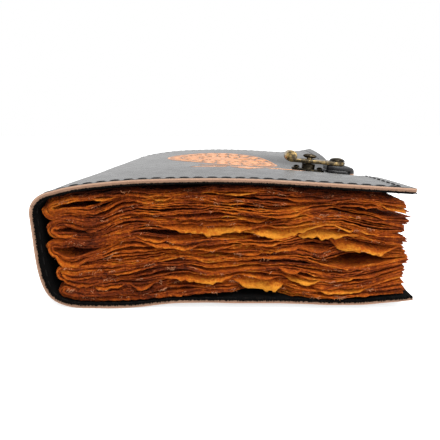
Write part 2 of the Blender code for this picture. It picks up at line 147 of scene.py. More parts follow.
def front_z(x):
    """Outer face of the front cover at its tail edge: a crown that leans toward the spine."""
    share = max(0.0, front_share(x))
    return HINGE_Z + (FRONT_EDGE_Z - HINGE_Z) * share + FRONT_CROWN * math.sin(math.pi * share ** CROWN_LEAN)


def head_corner(x, y):
    """Share of the curl at a point of the front cover: 1 at the head corner of the fore-edge."""
    corner = max(0.0, (x - CURL_START_X) / (FRONT_EDGE_X - CURL_START_X)) ** 2
    return corner * ease((y - STRAP_ZONE) / (HALF_HEIGHT - STRAP_ZONE))


def sag(x, y):
    """How far the front cover lies below its crown: drawn down by the strap and at the tail,
    and curled up at the head corner."""
    across = ease((x - SAG_START_X) / (FRONT_EDGE_X - SAG_START_X))
    near = clamp((HALF_HEIGHT - abs(y)) / (HALF_HEIGHT - STRAP_ZONE))
    along = near ** 6 * (7 - 6 * near)
    droop = TAIL_DROOP * math.sin(math.pi * clamp(front_share(x))) * tail_share(y)
    return STRAP_SAG * across * along + droop - CORNER_CURL * head_corner(x, y)


widest = (SPINE_X, SPINE_WIDEST_Z)
heel_pull = (SPINE_X + HEEL_LEAN, SPINE_WIDEST_Z - HEEL_PULL)
heel = bezier(widest, heel_pull, (REST_START_X - HEEL_TUG, 0), (REST_START_X, 0), HEEL_STEPS)
heel_x, heel_z = zip(*heel[heel.index(min(heel)):])


def back_z(x):
    """Outer face of the back cover: round at the heel, flat where it rests, rising to its fore-edge."""
    if x < REST_START_X:
        return float(np.interp(x, heel_x, heel_z))
    return BACK_EDGE_RISE * max(0.0, (x - REST_END_X) / (BACK_EDGE_X - REST_END_X)) ** 2


hinge = (HINGE_X, HINGE_Z)
shoulder_pull = (HINGE_X - SHOULDER_REACH, HINGE_Z - SHOULDER_DROP)
shoulder_tug = (SPINE_X, SPINE_WIDEST_Z + SHOULDER_REACH)
cover_line = [(x, front_z(x)) for x in np.linspace(FRONT_EDGE_X, HINGE_X, FRONT_STEPS + 1)]
cover_line += bezier(hinge, shoulder_pull, shoulder_tug, widest, SHOULDER_STEPS)[1:]
cover_line += heel[1:]
cover_line += [(x, back_z(x)) for x in np.linspace(REST_START_X, BACK_EDGE_X, BACK_STEPS + 1)][1:]
line_x, line_z = zip(*cover_line)
line_run = np.cumsum([0.0] + [math.dist(*pair) for pair in zip(cover_line, cover_line[1:])])
COVER_RUN = float(line_run[-1])
HINGE_RUN = float(line_run[FRONT_STEPS])
SEAM_RUN = HINGE_RUN + SEAM_PAST_HINGE
HEEL_RUN = float(line_run[-1 - BACK_STEPS])


TAIL_LIFT = 0.0027
LIFT_X = (-0.0450, 0.0300)
SETTLE = 0.42
SETTLE_X = (0.0180, 0.0450)
RIPPLE = 0.00035
TANGENT_STEP = 0.0005
HIDE_SKIVED = (0.0018, 0.0019, 0.0016, 0.0014)


def tail_lift(x, y):
    """How far the back cover's tail edge stands off the table: not at the heel, less at the fore-edge."""
    lifted = TAIL_LIFT * tail_share(y) * ramp(x, LIFT_X)
    return lifted * (1 - SETTLE * ramp(x, SETTLE_X))


def cover_point(run, y, depth=0.0):
    """A point of the cover: run from the front fore-edge along its outer face, depth toward the pages."""
    around = (run - TANGENT_STEP, run, run + TANGENT_STEP)
    before, x, after = np.interp(around, line_run, line_x).tolist()
    low, z, high = np.interp(around, line_run, line_z).tolist()
    along = Vector((after - before, high - low)).normalized()
    ripple = RIPPLE * waver(26 * run, 21 * y, 4.0)
    if run < HINGE_RUN:
        z -= sag(x, y)
        x -= CORNER_PULL * head_corner(x, y)
    if run > HEEL_RUN:
        z += tail_lift(x, y)
        ripple = abs(ripple)
    deep = depth - ripple
    return Vector((x - along.y * deep, y, z + along.x * deep))


def hide_thickness(run):
    """The hide is skived: thick on the front cover, thinner under the book."""
    return float(np.interp(run, (0, HINGE_RUN, HEEL_RUN, COVER_RUN), HIDE_SKIVED))


TOUCHING = 1e-6
CUT_CORNER = 1.0


def linked(name, data):
    """A new object in the scene."""
    made = bpy.data.objects.new(name, data)
    bpy.context.scene.collection.objects.link(made)
    return made


def wrapped(name, shape, *looks, place=None):
    """An object from a bmesh, whose points are first moved to their place if one is given.
    A closed shape's faces are made to point outwards."""
    if place:
        for vert in shape.verts:
            vert.co = place(vert.co)
    if not any(edge.is_boundary for edge in shape.edges):
        bmesh.ops.recalc_face_normals(shape, faces=shape.faces[:])
    mesh = bpy.data.meshes.new(name)
    shape.to_mesh(mesh)
    shape.free()
    mesh.shade_smooth()
    for look in looks:
        mesh.materials.append(look)
    return linked(name, mesh)


def only_verts(parts):
    """The vertices among the parts that an operator has made."""
    return [part for part in parts if isinstance(part, bmesh.types.BMVert)]


def slab(length, width, thick, columns, rows, rounding, joined=()):
    """A flat piece from x 0 to its length, its face at z 0, with rounded cut edges of material 1.
    Its attribute cut runs from 0 at that face to 1 at the other. Ends whose x is in joined stay square."""
    shape = bmesh.new()
    laid = Matrix.Translation((length / 2, 0, 0)) @ Matrix.Diagonal((length, width, 1, 1))
    bmesh.ops.create_grid(shape, x_segments=columns, y_segments=rows, size=0.5, matrix=laid)
    pushed = bmesh.ops.extrude_face_region(shape, geom=shape.faces[:])["geom"]
    bmesh.ops.translate(shape, verts=only_verts(pushed), vec=(0, 0, -thick))
    bmesh.ops.recalc_face_normals(shape, faces=shape.faces[:])
    for face in shape.faces:
        face.material_index = 1 if abs(face.normal.z) < 0.5 else 0
    corners = []
    for edge in shape.edges:
        middle = (edge.verts[0].co + edge.verts[1].co) / 2
        square = any(abs(middle.x - end) < TOUCHING for end in joined)
        if edge.calc_face_angle() > CUT_CORNER and not square:
            corners.append(edge)
    bmesh.ops.bevel(shape, geom=corners, offset=rounding, affect="EDGES", segments=2, profile=0.5,
                    material=-1)
    cut = shape.verts.layers.float.new("cut")
    for vert in shape.verts:
        vert[cut] = -vert.co.z / thick
    return shape


def linear(hex_code):
    """Linear RGBA of an sRGB hex value."""
    parts = [int(hex_code[digit:digit + 2], 16) / 255 for digit in (1, 3, 5)]
    return [part / 12.92 if part <= 0.04045 else ((part + 0.055) / 1.055) ** 2.4 for part in parts] + [1.0]


def add_node(look, kind, output, links=(), values=(), stops=(), **settings):
    """Add a node and return one of its outputs. Settings are its properties, values its inputs,
    links the sockets that feed its inputs, and stops the (position, hex) colours of a ramp."""
    made = look.node_tree.nodes.new("ShaderNode" + kind)
    for name, value in settings.items():
        setattr(made, name, value)
    for name, value in dict(values).items():
        made.inputs[name].default_value = value
    for name, socket in dict(links).items():
        look.node_tree.links.new(made.inputs[name], socket)
    for index, (position, code) in enumerate(stops):
        elements = made.color_ramp.elements
        element = elements[index] if index < 2 else elements.new(position)
        element.position = position
        element.color = linear(code)
    return made.outputs[output]


def finish_of(name, **sockets):
    """A new material and its Principled shader, whose constant sockets are set by name."""
    look = bpy.data.materials.new(name)
    look.use_nodes = True
    shader = look.node_tree.nodes["Principled BSDF"]
    for socket, value in sockets.items():
        shader.inputs[socket.replace("_", " ")].default_value = value
    return look, shader


def shade(look, shader, colour, roughness, height, distance):
    """Link a material's colour, its bump of that height and distance, and its roughness if it varies."""
    links = look.node_tree.links
    links.new(shader.inputs["Base Color"], colour)
    if roughness:
        links.new(shader.inputs["Roughness"], roughness)
    bump = add_node(look, "Bump", "Normal", {"Height": height}, {"Distance": distance})
    links.new(shader.inputs["Normal"], bump)


def per_metre(millimetres):
    """Texture scale at which one cell of a pattern has that size."""
    return 1000.0 / millimetres


# Black dyed grain: a satin top coat over 0.9 mm pebbles, rubbed in fine pale streaks and dusted in its pores
black_grain, shader = finish_of("black_dyed_cowhide", IOR=1.42)
position = add_node(black_grain, "TexCoord", "Object")
pebble = add_node(black_grain, "TexVoronoi", "Distance", {"Vector": position}, {"Scale": per_metre(0.9)},
                  feature="SMOOTH_F1")
crease = add_node(black_grain, "TexNoise", "Fac", {"Vector": position},
                  {"Scale": per_metre(7), "Detail": 6.0, "Roughness": 0.62})
drawn = add_node(black_grain, "Mapping", "Vector", {"Vector": position},
                 {"Rotation": (0.0, 0.0, 0.6), "Scale": (1.0, 0.3, 1.0)})
streak = add_node(black_grain, "TexNoise", "Fac", {"Vector": drawn},
                  {"Scale": per_metre(1.5), "Detail": 4.0, "Roughness": 0.72})
streaked = add_node(black_grain, "ValToRGB", "Color", {"Fac": streak},
                    stops=((0.0, "#161516"), (0.60, "#212021"), (0.80, "#5f5c58")))
coat = add_node(black_grain, "MapRange", "Result", {"Value": crease}, {"To Min": 0.15, "To Max": 0.36})
grain = add_node(black_grain, "Math", "Value", {0: pebble, 1: crease}, operation="ADD")
shade(black_grain, shader, streaked, coat, grain, 0.00005)

# Raw tan edge: undyed fibres cut by a knife, pale under the grain, with a dark line where two splits meet
tan_edge, shader = finish_of("raw_cut_edge", Roughness=0.88)
position = add_node(tan_edge, "TexCoord", "Object")
fibre = add_node(tan_edge, "TexNoise", "Fac", {"Vector": position},
                 {"Scale": per_metre(1.1), "Detail": 5.0, "Roughness": 0.7})
cut = add_node(tan_edge, "Attribute", "Fac", attribute_name="cut")
uneven = add_node(tan_edge, "Math", "Value", {0: fibre, 2: cut}, {1: 0.16}, operation="MULTIPLY_ADD")
splits = add_node(tan_edge, "ValToRGB", "Color", {"Fac": uneven},
                  stops=((0.08, "#2a201a"), (0.15, "#ac8c76"), (0.50, "#a58069"), (0.59, "#664b3b"),
                         (0.68, "#98765f"), (1.0, "#82634f")))
shade(tan_edge, shader, splits, None, fibre, 0.0003)

HIDE = 0.0018
HIDE_STEP = 0.0019
HIDE_ROWS = 64
HIDE_ROUND = 0.00035
KNIFE_WOBBLE = 0.0004


def outer_layer(run, y):
    """Depths of the outer hide's two faces, the same at every y."""
    return 0.0, hide_thickness(run)


def wrap_hide(shape, first, layer):
    """Wrap a hide, cut as a slab of nominal thickness, round the cover from a first run."""
    for vert in shape.verts:
        run = first + vert.co.x
        outer, inner = layer(run, vert.co.y)
        wobble = KNIFE_WOBBLE * waver(90 * run, math.copysign(5.0, vert.co.y), 900 * outer) - KNIFE_WOBBLE / 2
        y = vert.co.y * (1 + wobble / HALF_HEIGHT)
        vert.co = cover_point(run, y, outer - (inner - outer) * vert.co.z / HIDE)


def hide_slab(first, last, rounding):
    """The flat slab for a length of hide; the end that carries on in the next length stays square."""
    length = last - first
    joined = [0.0 if first else -1.0, length if last < COVER_RUN else -1.0]
    return slab(length, 2 * HALF_HEIGHT, HIDE, round(length / HIDE_STEP), HIDE_ROWS, rounding, joined)


SHOULDER_START = (-0.0625, 0, 0.0520)
SHOULDER_END = (-0.0752, 0, 0.0485)
SPINE_REACH = Vector((0, 0, 0.0065))


def fitted(upper, lower, slot):
    """Fit two lengths of a layer: the upper bends at the shoulder, the lower at the middle of the spine."""
    gutter = axes["book_opening"]
    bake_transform(upper, "front_cover", "upper_pages", SHOULDER_START, SHOULDER_END)
    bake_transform(lower, "upper_pages", "back_cover", gutter + SPINE_REACH, gutter - SPINE_REACH)


lengths = {"front": (0.0, SEAM_RUN), "back": (SEAM_RUN, COVER_RUN)}
hides = []
for side, (first, last) in lengths.items():
    cut_hide = hide_slab(first, last, HIDE_ROUND)
    wrap_hide(cut_hide, first, outer_layer)
    hides.append(wrapped(f"{side}_hide", cut_hide, black_grain, tan_edge))
fitted(*hides, "black_leather")
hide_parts("front_leather", "spine_leather")
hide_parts("back_leather")

# Lining: a thinner hide with its black suede side inwards, glued and sewn inside the outer hide.
# It is dyed through and skived toward its edges, most under the front cover and under the lowest leaves
# at the tail, and its nap hangs from the cut as a short fringe.
COVER_DEPTH = 0.0030
GLUE = 0.00006
LINING_ROUND = 0.0002
LEAST_LINING = 0.0002
SKIVE = 0.0040
SKIVED_SHARE = 0.6
FRONT_SKIVED_MORE = 0.25
FRONT_FADE = 0.010
SLUMP = 0.0011
SLUMP_Y = (0.0895, 0.006)
SLUMP_FROM_HEEL = (-0.030, 0.015)
FRINGE_STEP = 0.00048
FRINGE_ROOT = 0.00034
FRINGE_OUT = 0.0001
FRONT_FRINGE_CUT = 0.5

# Black suede: the brushed flesh side, which takes nearly all light and shows only a faint mottle of its nap
black_suede, shader = finish_of("black_suede", Roughness=0.95, Specular_IOR_Level=0.08)
position = add_node(black_suede, "TexCoord", "Object")
nap = add_node(black_suede, "TexNoise", "Fac", {"Vector": position},
               {"Scale": per_metre(0.8), "Detail": 4.0, "Roughness": 0.75})
brushed = add_node(black_suede, "ValToRGB", "Color", {"Fac": nap}, stops=((0.3, "#030303"), (0.7, "#0b0a0a")))
shade(black_suede, shader, brushed, None, nap, 0.0003)


def on_front(run):
    """1 on the front cover and 0 past its hinge."""
    return ease((HINGE_RUN - run) / FRONT_FADE)


def slump(y):
    """How far the lowest leaves have sunk at the tail, where the back lining is skived away for them."""
    return SLUMP * ramp(-y, SLUMP_Y)


def lining_layer(run, y):
    """Depths of the lining's two faces."""
    outer = hide_thickness(run) + GLUE
    edge = ease((abs(y) - HALF_HEIGHT + SKIVE) / SKIVE)
    thinned = (SKIVED_SHARE + FRONT_SKIVED_MORE * on_front(run)) * edge
    inner = COVER_DEPTH - thinned * (COVER_DEPTH - outer)
    sunk = slump(y) * ramp(run - HEEL_RUN, SLUMP_FROM_HEEL)
    return outer, max(outer + LEAST_LINING, inner - sunk)


def add_strand(shape, foot, tip, root):
    """A tapered strand of fibre from a foot to a tip, with its root radius: a slim three-sided cone."""
    aim = tip - foot
    spot = Matrix.Translation((foot + tip) / 2) @ aim.to_track_quat("Z", "Y").to_matrix().to_4x4()
    bmesh.ops.create_cone(shape, cap_ends=True, segments=3, radius1=root, radius2=root / 4, depth=aim.length,
                          matrix=spot)


strands = random.Random(7)
linings = []
for side, (first, last) in lengths.items():
    cut_lining = hide_slab(first, last, LINING_ROUND)
    wrap_hide(cut_lining, first, lining_layer)
    for step in range(round((last - first) / FRINGE_STEP)):
        for end in (-1, 1):
            run = first + (step + strands.random()) * FRINGE_STEP
            outer, inner = lining_layer(run, HALF_HEIGHT)
            foot_depth = outer - strands.uniform(-0.0002, 0.0004)
            foot = cover_point(run, end * (HALF_HEIGHT + FRINGE_OUT), foot_depth)
            tip_depth = inner + (1 - FRONT_FRINGE_CUT * on_front(run)) * strands.uniform(0.0001, 0.0009)
            tip_run = run + strands.uniform(-0.0004, 0.0004)
            tip = cover_point(tip_run, end * (HALF_HEIGHT + strands.uniform(-0.0008, 0.0002)), tip_depth)
            add_strand(cut_lining, foot, tip, FRINGE_ROOT)
    linings.append(wrapped(f"{side}_suede", cut_lining, black_suede, black_suede))
fitted(*linings, "black_lining")
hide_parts("front_lining", "spine_lining")
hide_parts("back_lining")

# Edge stitching: waxed black thread in a lock stitch round the cover, a few millimetres in from the edge.
# Each stitch is a short arched length that dips into its holes, on the grain side and on the suede side.
STITCH = 0.0056
STITCH_PITCH = 0.0057
STITCH_INSET = 0.0021
FORE_INSET = 0.0058
STITCH_THREAD = 0.0008
STITCH_RISE = 0.00042
STITCH_DIP = 0.0006
PRESSED = 0.4
PRESSED_INSIDE = 0.2
EDGE_ROW_Y = HALF_HEIGHT - STITCH_INSET
LAST_ROW_RUN = COVER_RUN - FORE_INSET

# Waxed thread: black and a little shiny, mottled by its plies
waxed_thread, shader = finish_of("waxed_thread", Roughness=0.6, Specular_IOR_Level=0.15)
position = add_node(waxed_thread, "TexCoord", "Object")
ply = add_node(waxed_thread, "TexNoise", "Fac", {"Vector": position},
               {"Scale": per_metre(0.7), "Detail": 2.0})
waxed = add_node(waxed_thread, "ValToRGB", "Color", {"Fac": ply}, stops=((0.35, "#050505"), (0.7, "#161514")))
shade(waxed_thread, shader, waxed, None, ply, 0.0002)


def add_stitch(shape, place, x, y, crosswise, rise):
    """One stitch at x, y, along x or crosswise along y; place(x, y, height) puts a point on the piece."""
    stitch = bmesh.ops.create_uvsphere(shape, u_segments=8, v_segments=6, radius=0.5)["verts"]
    for vert in stitch:
        along = vert.co.x * STITCH
        across = vert.co.y * STITCH_THREAD
        height = 2 * vert.co.z * rise - STITCH_DIP * (2 * vert.co.x) ** 6
        spot = (x + across, y + along) if crosswise else (x + along, y + across)
        vert.co = place(*spot, height)
    return stitch


def on_grain(run, y, height):
    """A point over the grain side of the cover."""
    return cover_point(run, y, -height)


def on_suede(run, y, height):
    """A point over the suede side of the cover."""
    return cover_point(run, y, lining_layer(run, y)[1] + height)


def cover_stitches(name, spots):
    """Stitches at spots (run, y, crosswise or not) on both faces of the cover. Those inside, along the head,
    past the hinge and on the fore-edge off the tail are pressed flat."""
    shape = bmesh.new()
    for run, y, crosswise in spots:
        handled = crosswise and y > -TAIL_START_Y
        flat = handled or run > HINGE_RUN - STITCH_PITCH or y > EDGE_ROW_Y - STITCH_PITCH
        add_stitch(shape, on_grain, run, y, crosswise, STITCH_RISE * (PRESSED if flat else 1.0))
        add_stitch(shape, on_suede, run, y, crosswise, STITCH_RISE * PRESSED_INSIDE)
    return wrapped(name, shape, waxed_thread)


stitch_spots = []
across_count = round((LAST_ROW_RUN - FORE_INSET) / STITCH_PITCH)
for step in range(across_count):
    run = FORE_INSET + (step + 0.5) * (LAST_ROW_RUN - FORE_INSET) / across_count
    stitch_spots += [(run, -EDGE_ROW_Y, False), (run, EDGE_ROW_Y, False)]
up_count = round(2 * EDGE_ROW_Y / STITCH_PITCH)
for step in range(up_count):
    y = -EDGE_ROW_Y + (step + 0.5) * 2 * EDGE_ROW_Y / up_count
    stitch_spots += [(FORE_INSET, y, True), (LAST_ROW_RUN, y, True)]
seams = [cover_stitches("front_stitches", [spot for spot in stitch_spots if spot[0] < SEAM_RUN]),
         cover_stitches("back_stitches", [spot for spot in stitch_spots if spot[0] >= SEAM_RUN])]
fitted(*seams, "linen_thread")

# Foil ornament: copper foil pressed into the front cover with hot dies, a traditional rosette of petals in
# rings and below it a lozenge with fine rays. The foil is a film that follows the crown of the leather.
# Rings are (radius, width), and rows of petals (count, start, end, half-width, turn in steps).
ROSETTE = (0.0790, 0.0150)
RINGS = ((0.0360, 0.0016), (0.0268, 0.0010), (0.0148, 0.0009))
PETALS = ((24, 0.0275, 0.0350, 0.0036, 0.0), (16, 0.0155, 0.0262, 0.0037, 0.0),
          (16, 0.0226, 0.0262, 0.0011, 0.5), (12, 0.0016, 0.0142, 0.0027, 0.0),
          (12, 0.0098, 0.0142, 0.0010, 0.5))
PETAL_TIPS = (0.03, 0.94)
PETAL_FULLNESS = 0.6
LOZENGE = (0.0660, -0.0560)
LOZENGE_LEAVES = 8
LOZENGE_START = 0.0004
LOZENGE_ENDS = (0.0085, 0.0062)
LOZENGE_HALF_WIDTH = 0.0022
RAYS = 13
RAY_FIRST = -6
RAY_TURN = 16
RAY_START = 0.0105
RAY_END = 0.0290
RAY_SHORTER = 0.004
RAY_HALF_WIDTH = 0.0005
FOIL = 0.00006

# Pressed copper foil: bright warm metal with a soft shine, dulled where it has been rubbed
copper_foil, shader = finish_of("pressed_copper_foil", Metallic=1.0)
position = add_node(copper_foil, "TexCoord", "Object")
rub = add_node(copper_foil, "TexNoise", "Fac", {"Vector": position},
               {"Scale": per_metre(2.2), "Detail": 4.0, "Roughness": 0.7})
pressed = add_node(copper_foil, "ValToRGB", "Color", {"Fac": rub},
                   stops=((0.3, "#d58a57"), (0.5, "#f2ab78"), (0.75, "#ffcfa4")))
polish = add_node(copper_foil, "MapRange", "Result", {"Value": rub}, {"To Min": 0.28, "To Max": 0.5})
shade(copper_foil, shader, pressed, polish, rub, 0.00005)


def foil_leaf(shape, centre, angle, start, end, half_width):
    """A pointed foil leaf that lies along an angle, from a start to an end radius about a centre (run, y)."""
    leaf = bmesh.ops.create_grid(shape, x_segments=8, y_segments=2, size=0.5)
    for vert in leaf["verts"]:
        share = vert.co.x + 0.5
        radius = start + (end - start) * share
        swell = math.sin(math.pi * (PETAL_TIPS[0] + PETAL_TIPS[1] * share)) ** PETAL_FULLNESS
        aside = 2 * vert.co.y * half_width * swell
        across = radius * math.cos(angle) - aside * math.sin(angle)
        up = radius * math.sin(angle) + aside * math.cos(angle)
        vert.co = (centre[0] - across, centre[1] + up, 0)


def foil_ring(shape, centre, radius, width):
    """A flat foil ring about a centre."""
    ring = bmesh.ops.create_circle(shape, segments=72, radius=radius - width / 2)["verts"]
    edges = {edge for vert in ring for edge in vert.link_edges}
    outer = only_verts(bmesh.ops.extrude_edge_only(shape, edges=list(edges))["geom"])
    for vert in outer:
        vert.co *= (radius + width / 2) / (radius - width / 2)
    for vert in ring + outer:
        vert.co += Vector((centre[0], centre[1], 0))


ornament = bmesh.new()
for radius, width in RINGS:
    foil_ring(ornament, ROSETTE, radius, width)
for count, start, end, half_width, offset in PETALS:
    for step in range(count):
        foil_leaf(ornament, ROSETTE, math.tau * (step + offset) / count, start, end, half_width)
for step in range(LOZENGE_LEAVES):
    angle = math.tau * step / LOZENGE_LEAVES
    foil_leaf(ornament, LOZENGE, angle, LOZENGE_START, LOZENGE_ENDS[step % 2], LOZENGE_HALF_WIDTH)
for step in range(RAYS):
    angle = math.radians(RAY_FIRST + RAY_TURN * step)
    foil_leaf(ornament, LOZENGE, angle, RAY_START, RAY_END - RAY_SHORTER * (step % 2), RAY_HALF_WIDTH)
foil_film = wrapped("foil_ornament", ornament, copper_foil,
                    place=lambda flat: cover_point(flat.x, flat.y, -FOIL))
thickness = foil_film.modifiers.new("film", "SOLIDIFY")
thickness.thickness = FOIL
thickness.offset = 0.0
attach(foil_film, "front_cover")

# Signatures: five gatherings of rag-paper sheets, mould-made, dyed with tea and oxide and left with the
# deckle on. Each sheet is folded once and nested; the damp paper has dried in waves, so clumps of leaves part
# and edges curl.
SIGNATURES = 5
UPPER_SIGNATURES = 2
SHEETS = 10
FOLDS_X = (-0.0708, -0.0707, -0.0713, -0.0688, -0.0685)
LEAF = 0.00022
DECKLE = 0.00080
SWOLLEN_X = -0.0520
PAGE_EDGE_X = 0.0754
STRAP_LIMIT_X = 0.0775
HALF_PAGE = 0.0988
PAGE_CLEARANCE = 0.0006
PAGE_LIFT = 0.0040
PAGE_LIFT_SPAN = 0.0900
LEAVES_SLUMP = 1.15
ANCHOR_X = 0.0648
ANCHOR_RISE = 0.0021
ANCHOR_RAMP = 0.0190
ANCHOR_FADE_Y = (0.050, 0.040)
BAND = (0.0075, 0.0034, 0.0011, 0.0)
LEAF_COLUMNS = 22
FOLD_COLUMNS = 8
PAGE_ROWS = 16
STACK_COLUMNS = 57
STACK_ROWS = 65
PAST_FORE_EDGE = 0.004
PAST_HEAD = 0.003
LEAVES = 2 * SIGNATURES * SHEETS

dice = random.Random(41)
stack_x = np.linspace(min(FOLDS_X), PAGE_EDGE_X + PAST_FORE_EDGE, STACK_COLUMNS)
stack_y = np.linspace(-HALF_PAGE - PAST_HEAD, HALF_PAGE + PAST_HEAD, STACK_ROWS)


def stack_limits(x, y):
    """Top and bottom of the page block: under the front lining, over the back lining and the strap's end."""
    lift = PAGE_LIFT * math.cos(math.pi * x / PAGE_LIFT_SPAN) ** 2 if abs(x) < PAGE_LIFT_SPAN / 2 else 0.0
    over_anchor = ANCHOR_RISE * ease(1 + (x - ANCHOR_X) / ANCHOR_RAMP)
    over_anchor *= 1 - ramp(abs(y), ANCHOR_FADE_Y)
    bottom = back_z(x) + COVER_DEPTH + PAGE_CLEARANCE + max(lift + over_anchor, tail_lift(x, y))
    top = front_z(x) - COVER_DEPTH - PAGE_CLEARANCE - max(0.0, sag(x, y))
    return top, bottom - LEAVES_SLUMP * slump(y)


def bell(value, centre, spread):
    """A bell curve of height 1."""
    return math.exp(-((value - centre) / spread) ** 2)


# Room above each leaf: long cracks between clumps, wider where the leaves are loose at the edges, a gap
# between gatherings, an open core by each fold (height, x, width), and pockets (leaf, x, y, widths, height)
LEAST_ROOM = 0.00006
CRACK_START = 0.20
CRACK_ROOM = 0.0006
LOOSE_CRACK_ROOM = 0.0036
GATHERING_ROOM = 0.0003
LOOSE_GATHERING_ROOM = 0.0006
HELD_SHARE = 0.25
HELD_X = (-0.064, 0.020)
LOOSE_Y = (0.050, 0.045)
LOOSE_X = (0.035, 0.040)
CORES = ((0.0030, -0.0600, 0.0120), (0.0030, -0.0635, 0.0075), (0.0052, -0.0650, 0.0065),
         (0.0008, -0.0600, 0.0080), (0.0010, -0.0600, 0.0100))
POCKETS = ((66, 0.055, -HALF_PAGE, 0.012, 0.024, 0.0066), (54, 0.040, -HALF_PAGE, 0.008, 0.020, 0.0020),
           (20, 0.066, -HALF_PAGE, 0.022, 0.030, 0.0020), (31, 0.060, -HALF_PAGE, 0.020, 0.030, 0.0014),
           (61, 0.000, -HALF_PAGE, 0.011, 0.016, 0.0017), (76, 0.030, -HALF_PAGE, 0.010, 0.016, 0.0026),
           (53, 0.010, -HALF_PAGE, 0.022, 0.016, 0.0013), (27, 0.030, HALF_PAGE, 0.016, 0.020, 0.0022),
           (58, 0.010, HALF_PAGE, 0.022, 0.020, 0.0026), (81, 0.048, HALF_PAGE, 0.012, 0.020, 0.0024),
           (44, PAGE_EDGE_X, -0.040, 0.016, 0.022, 0.0024), (66, PAGE_EDGE_X, 0.046, 0.016, 0.022, 0.0026))
room = np.zeros((len(stack_x), len(stack_y), LEAVES + 1))
tops = np.zeros((len(stack_x), len(stack_y)))
depths = np.zeros((len(stack_x), len(stack_y)))
for i, x in enumerate(stack_x):
    free = HELD_SHARE + (1 - HELD_SHARE) * ramp(x, HELD_X)
    for j, y in enumerate(stack_y):
        top, bottom = stack_limits(x, y)
        tops[i, j] = top
        depths[i, j] = top - bottom - LEAVES * LEAF
        loose = max(ramp(abs(y), LOOSE_Y), ramp(x, LOOSE_X))
        crack_room = free * (CRACK_ROOM + LOOSE_CRACK_ROOM * loose)
        for gap in range(LEAVES + 1):
            crack = waver(24 * x, 20 * y, gap * 5.3)
            single = waver(85 * x, 60 * y, gap * 3.7)
            room[i, j, gap] = LEAST_ROOM + LEAST_ROOM * max(0.0, single)
            room[i, j, gap] += crack_room * max(0.0, crack - CRACK_START)
        for gap in range(2 * SHEETS, LEAVES, 2 * SHEETS):
            varied = 0.6 + waver(30 * x, 25 * y, gap)
            room[i, j, gap] += GATHERING_ROOM + LOOSE_GATHERING_ROOM * loose * varied
        for gap, (height, core_x, wide) in zip(range(SHEETS, LEAVES, 2 * SHEETS), CORES):
            room[i, j, gap] += height * bell(x, core_x, wide)
        for gap, pocket_x, pocket_y, wide, deep, height in POCKETS:
            room[i, j, gap] += height * bell(x, pocket_x, wide) * bell(y, pocket_y, deep)
share_above = np.cumsum(room, axis=2)
share_above /= share_above[:, :, -1:]


def leaf_z(x, y, leaf):
    """Height of a leaf's middle in the stack; leaves are counted from the front cover and never cross."""
    across = (min(max(x, stack_x[0]), stack_x[-1]) - stack_x[0]) / (stack_x[1] - stack_x[0])
    up = (min(max(y, stack_y[0]), stack_y[-1]) - stack_y[0]) / (stack_y[1] - stack_y[0])
    i = min(int(across), len(stack_x) - 2)
    j = min(int(up), len(stack_y) - 2)
    a = across - i
    b = up - j
    total = 0.0
    for di, dj, part in ((0, 0, (1 - a) * (1 - b)), (1, 0, a * (1 - b)), (0, 1, (1 - a) * b), (1, 1, a * b)):
        column = tops[i + di, j + dj] - depths[i + di, j + dj] * share_above[i + di, j + dj, leaf]
        total += part * column
    return total - (leaf + 0.5) * LEAF


# Deckle: how far each leaf's edge stands out, and how far it curls down, along the tail, head and fore-edge.
# Flaps are (leaf, place, half-length, drop); the leaves under a flap are torn back to let it hang.
# At the tail corner of the fore-edge the leaves stand out in clumps (leaf, reach).
EDGE_STEP = 0.0008
LEAF_OUT = 0.0006
CLUMP_OUT = 0.0018
WIDE_OUT = 0.0013
TORN_OUT = 0.0007
FRAY_OUT = 0.0005
SET_BACK = 0.0003
TOP_SET_BACK = 0.0028
TOP_LEAVES = 5
SHADED_SET_BACK = 0.0026
SHADED_LEAVES = 12
SHADED_X = (0.005, 0.050)
FLAPS = 44
FLAP_OUT = 0.0007
FLAP_STRETCH = 0.12
DROP_PER_LEAF = 0.0004
DEEPEST_TEAR = 0.0060
TAIL_FLAPS = ((80, 0.0160, 0.0108, 0.0068), (79, -0.0110, 0.0135, 0.0032), (34, -0.0060, 0.0180, 0.0038),
              (36, 0.0220, 0.0150, 0.0046), (42, 0.0420, 0.0110, 0.0048), (49, 0.0580, 0.0120, 0.0056),
              (42, -0.0300, 0.0060, 0.0022), (57, -0.0100, 0.0160, 0.0018), (58, 0.0130, 0.0150, 0.0018),
              (78, 0.0330, 0.0060, 0.0030), (87, 0.0520, 0.0090, 0.0026), (6, -0.0480, 0.0060, 0.0018),
              (82, -0.0500, 0.0060, 0.0018), (82, -0.0350, 0.0040, 0.0022), (12, 0.0350, 0.0120, 0.0016))
CLUMPS = ((0, 0.0), (14, 0.0), (20, 0.0037), (30, -0.0010), (42, 0.0014), (49, -0.0026), (63, 0.0010),
          (75, 0.0), (86, -0.0014), (95, 0.0003))
CLUMP_CORNER = 0.016
CLUMP_RAGGED = 0.4
along_page = np.arange(-0.075, 0.0811, EDGE_STEP)
edge_places = {"tail": along_page, "head": along_page, "fore": np.arange(-0.1015, 0.1016, EDGE_STEP)}
stands_out = {}
curls = {}
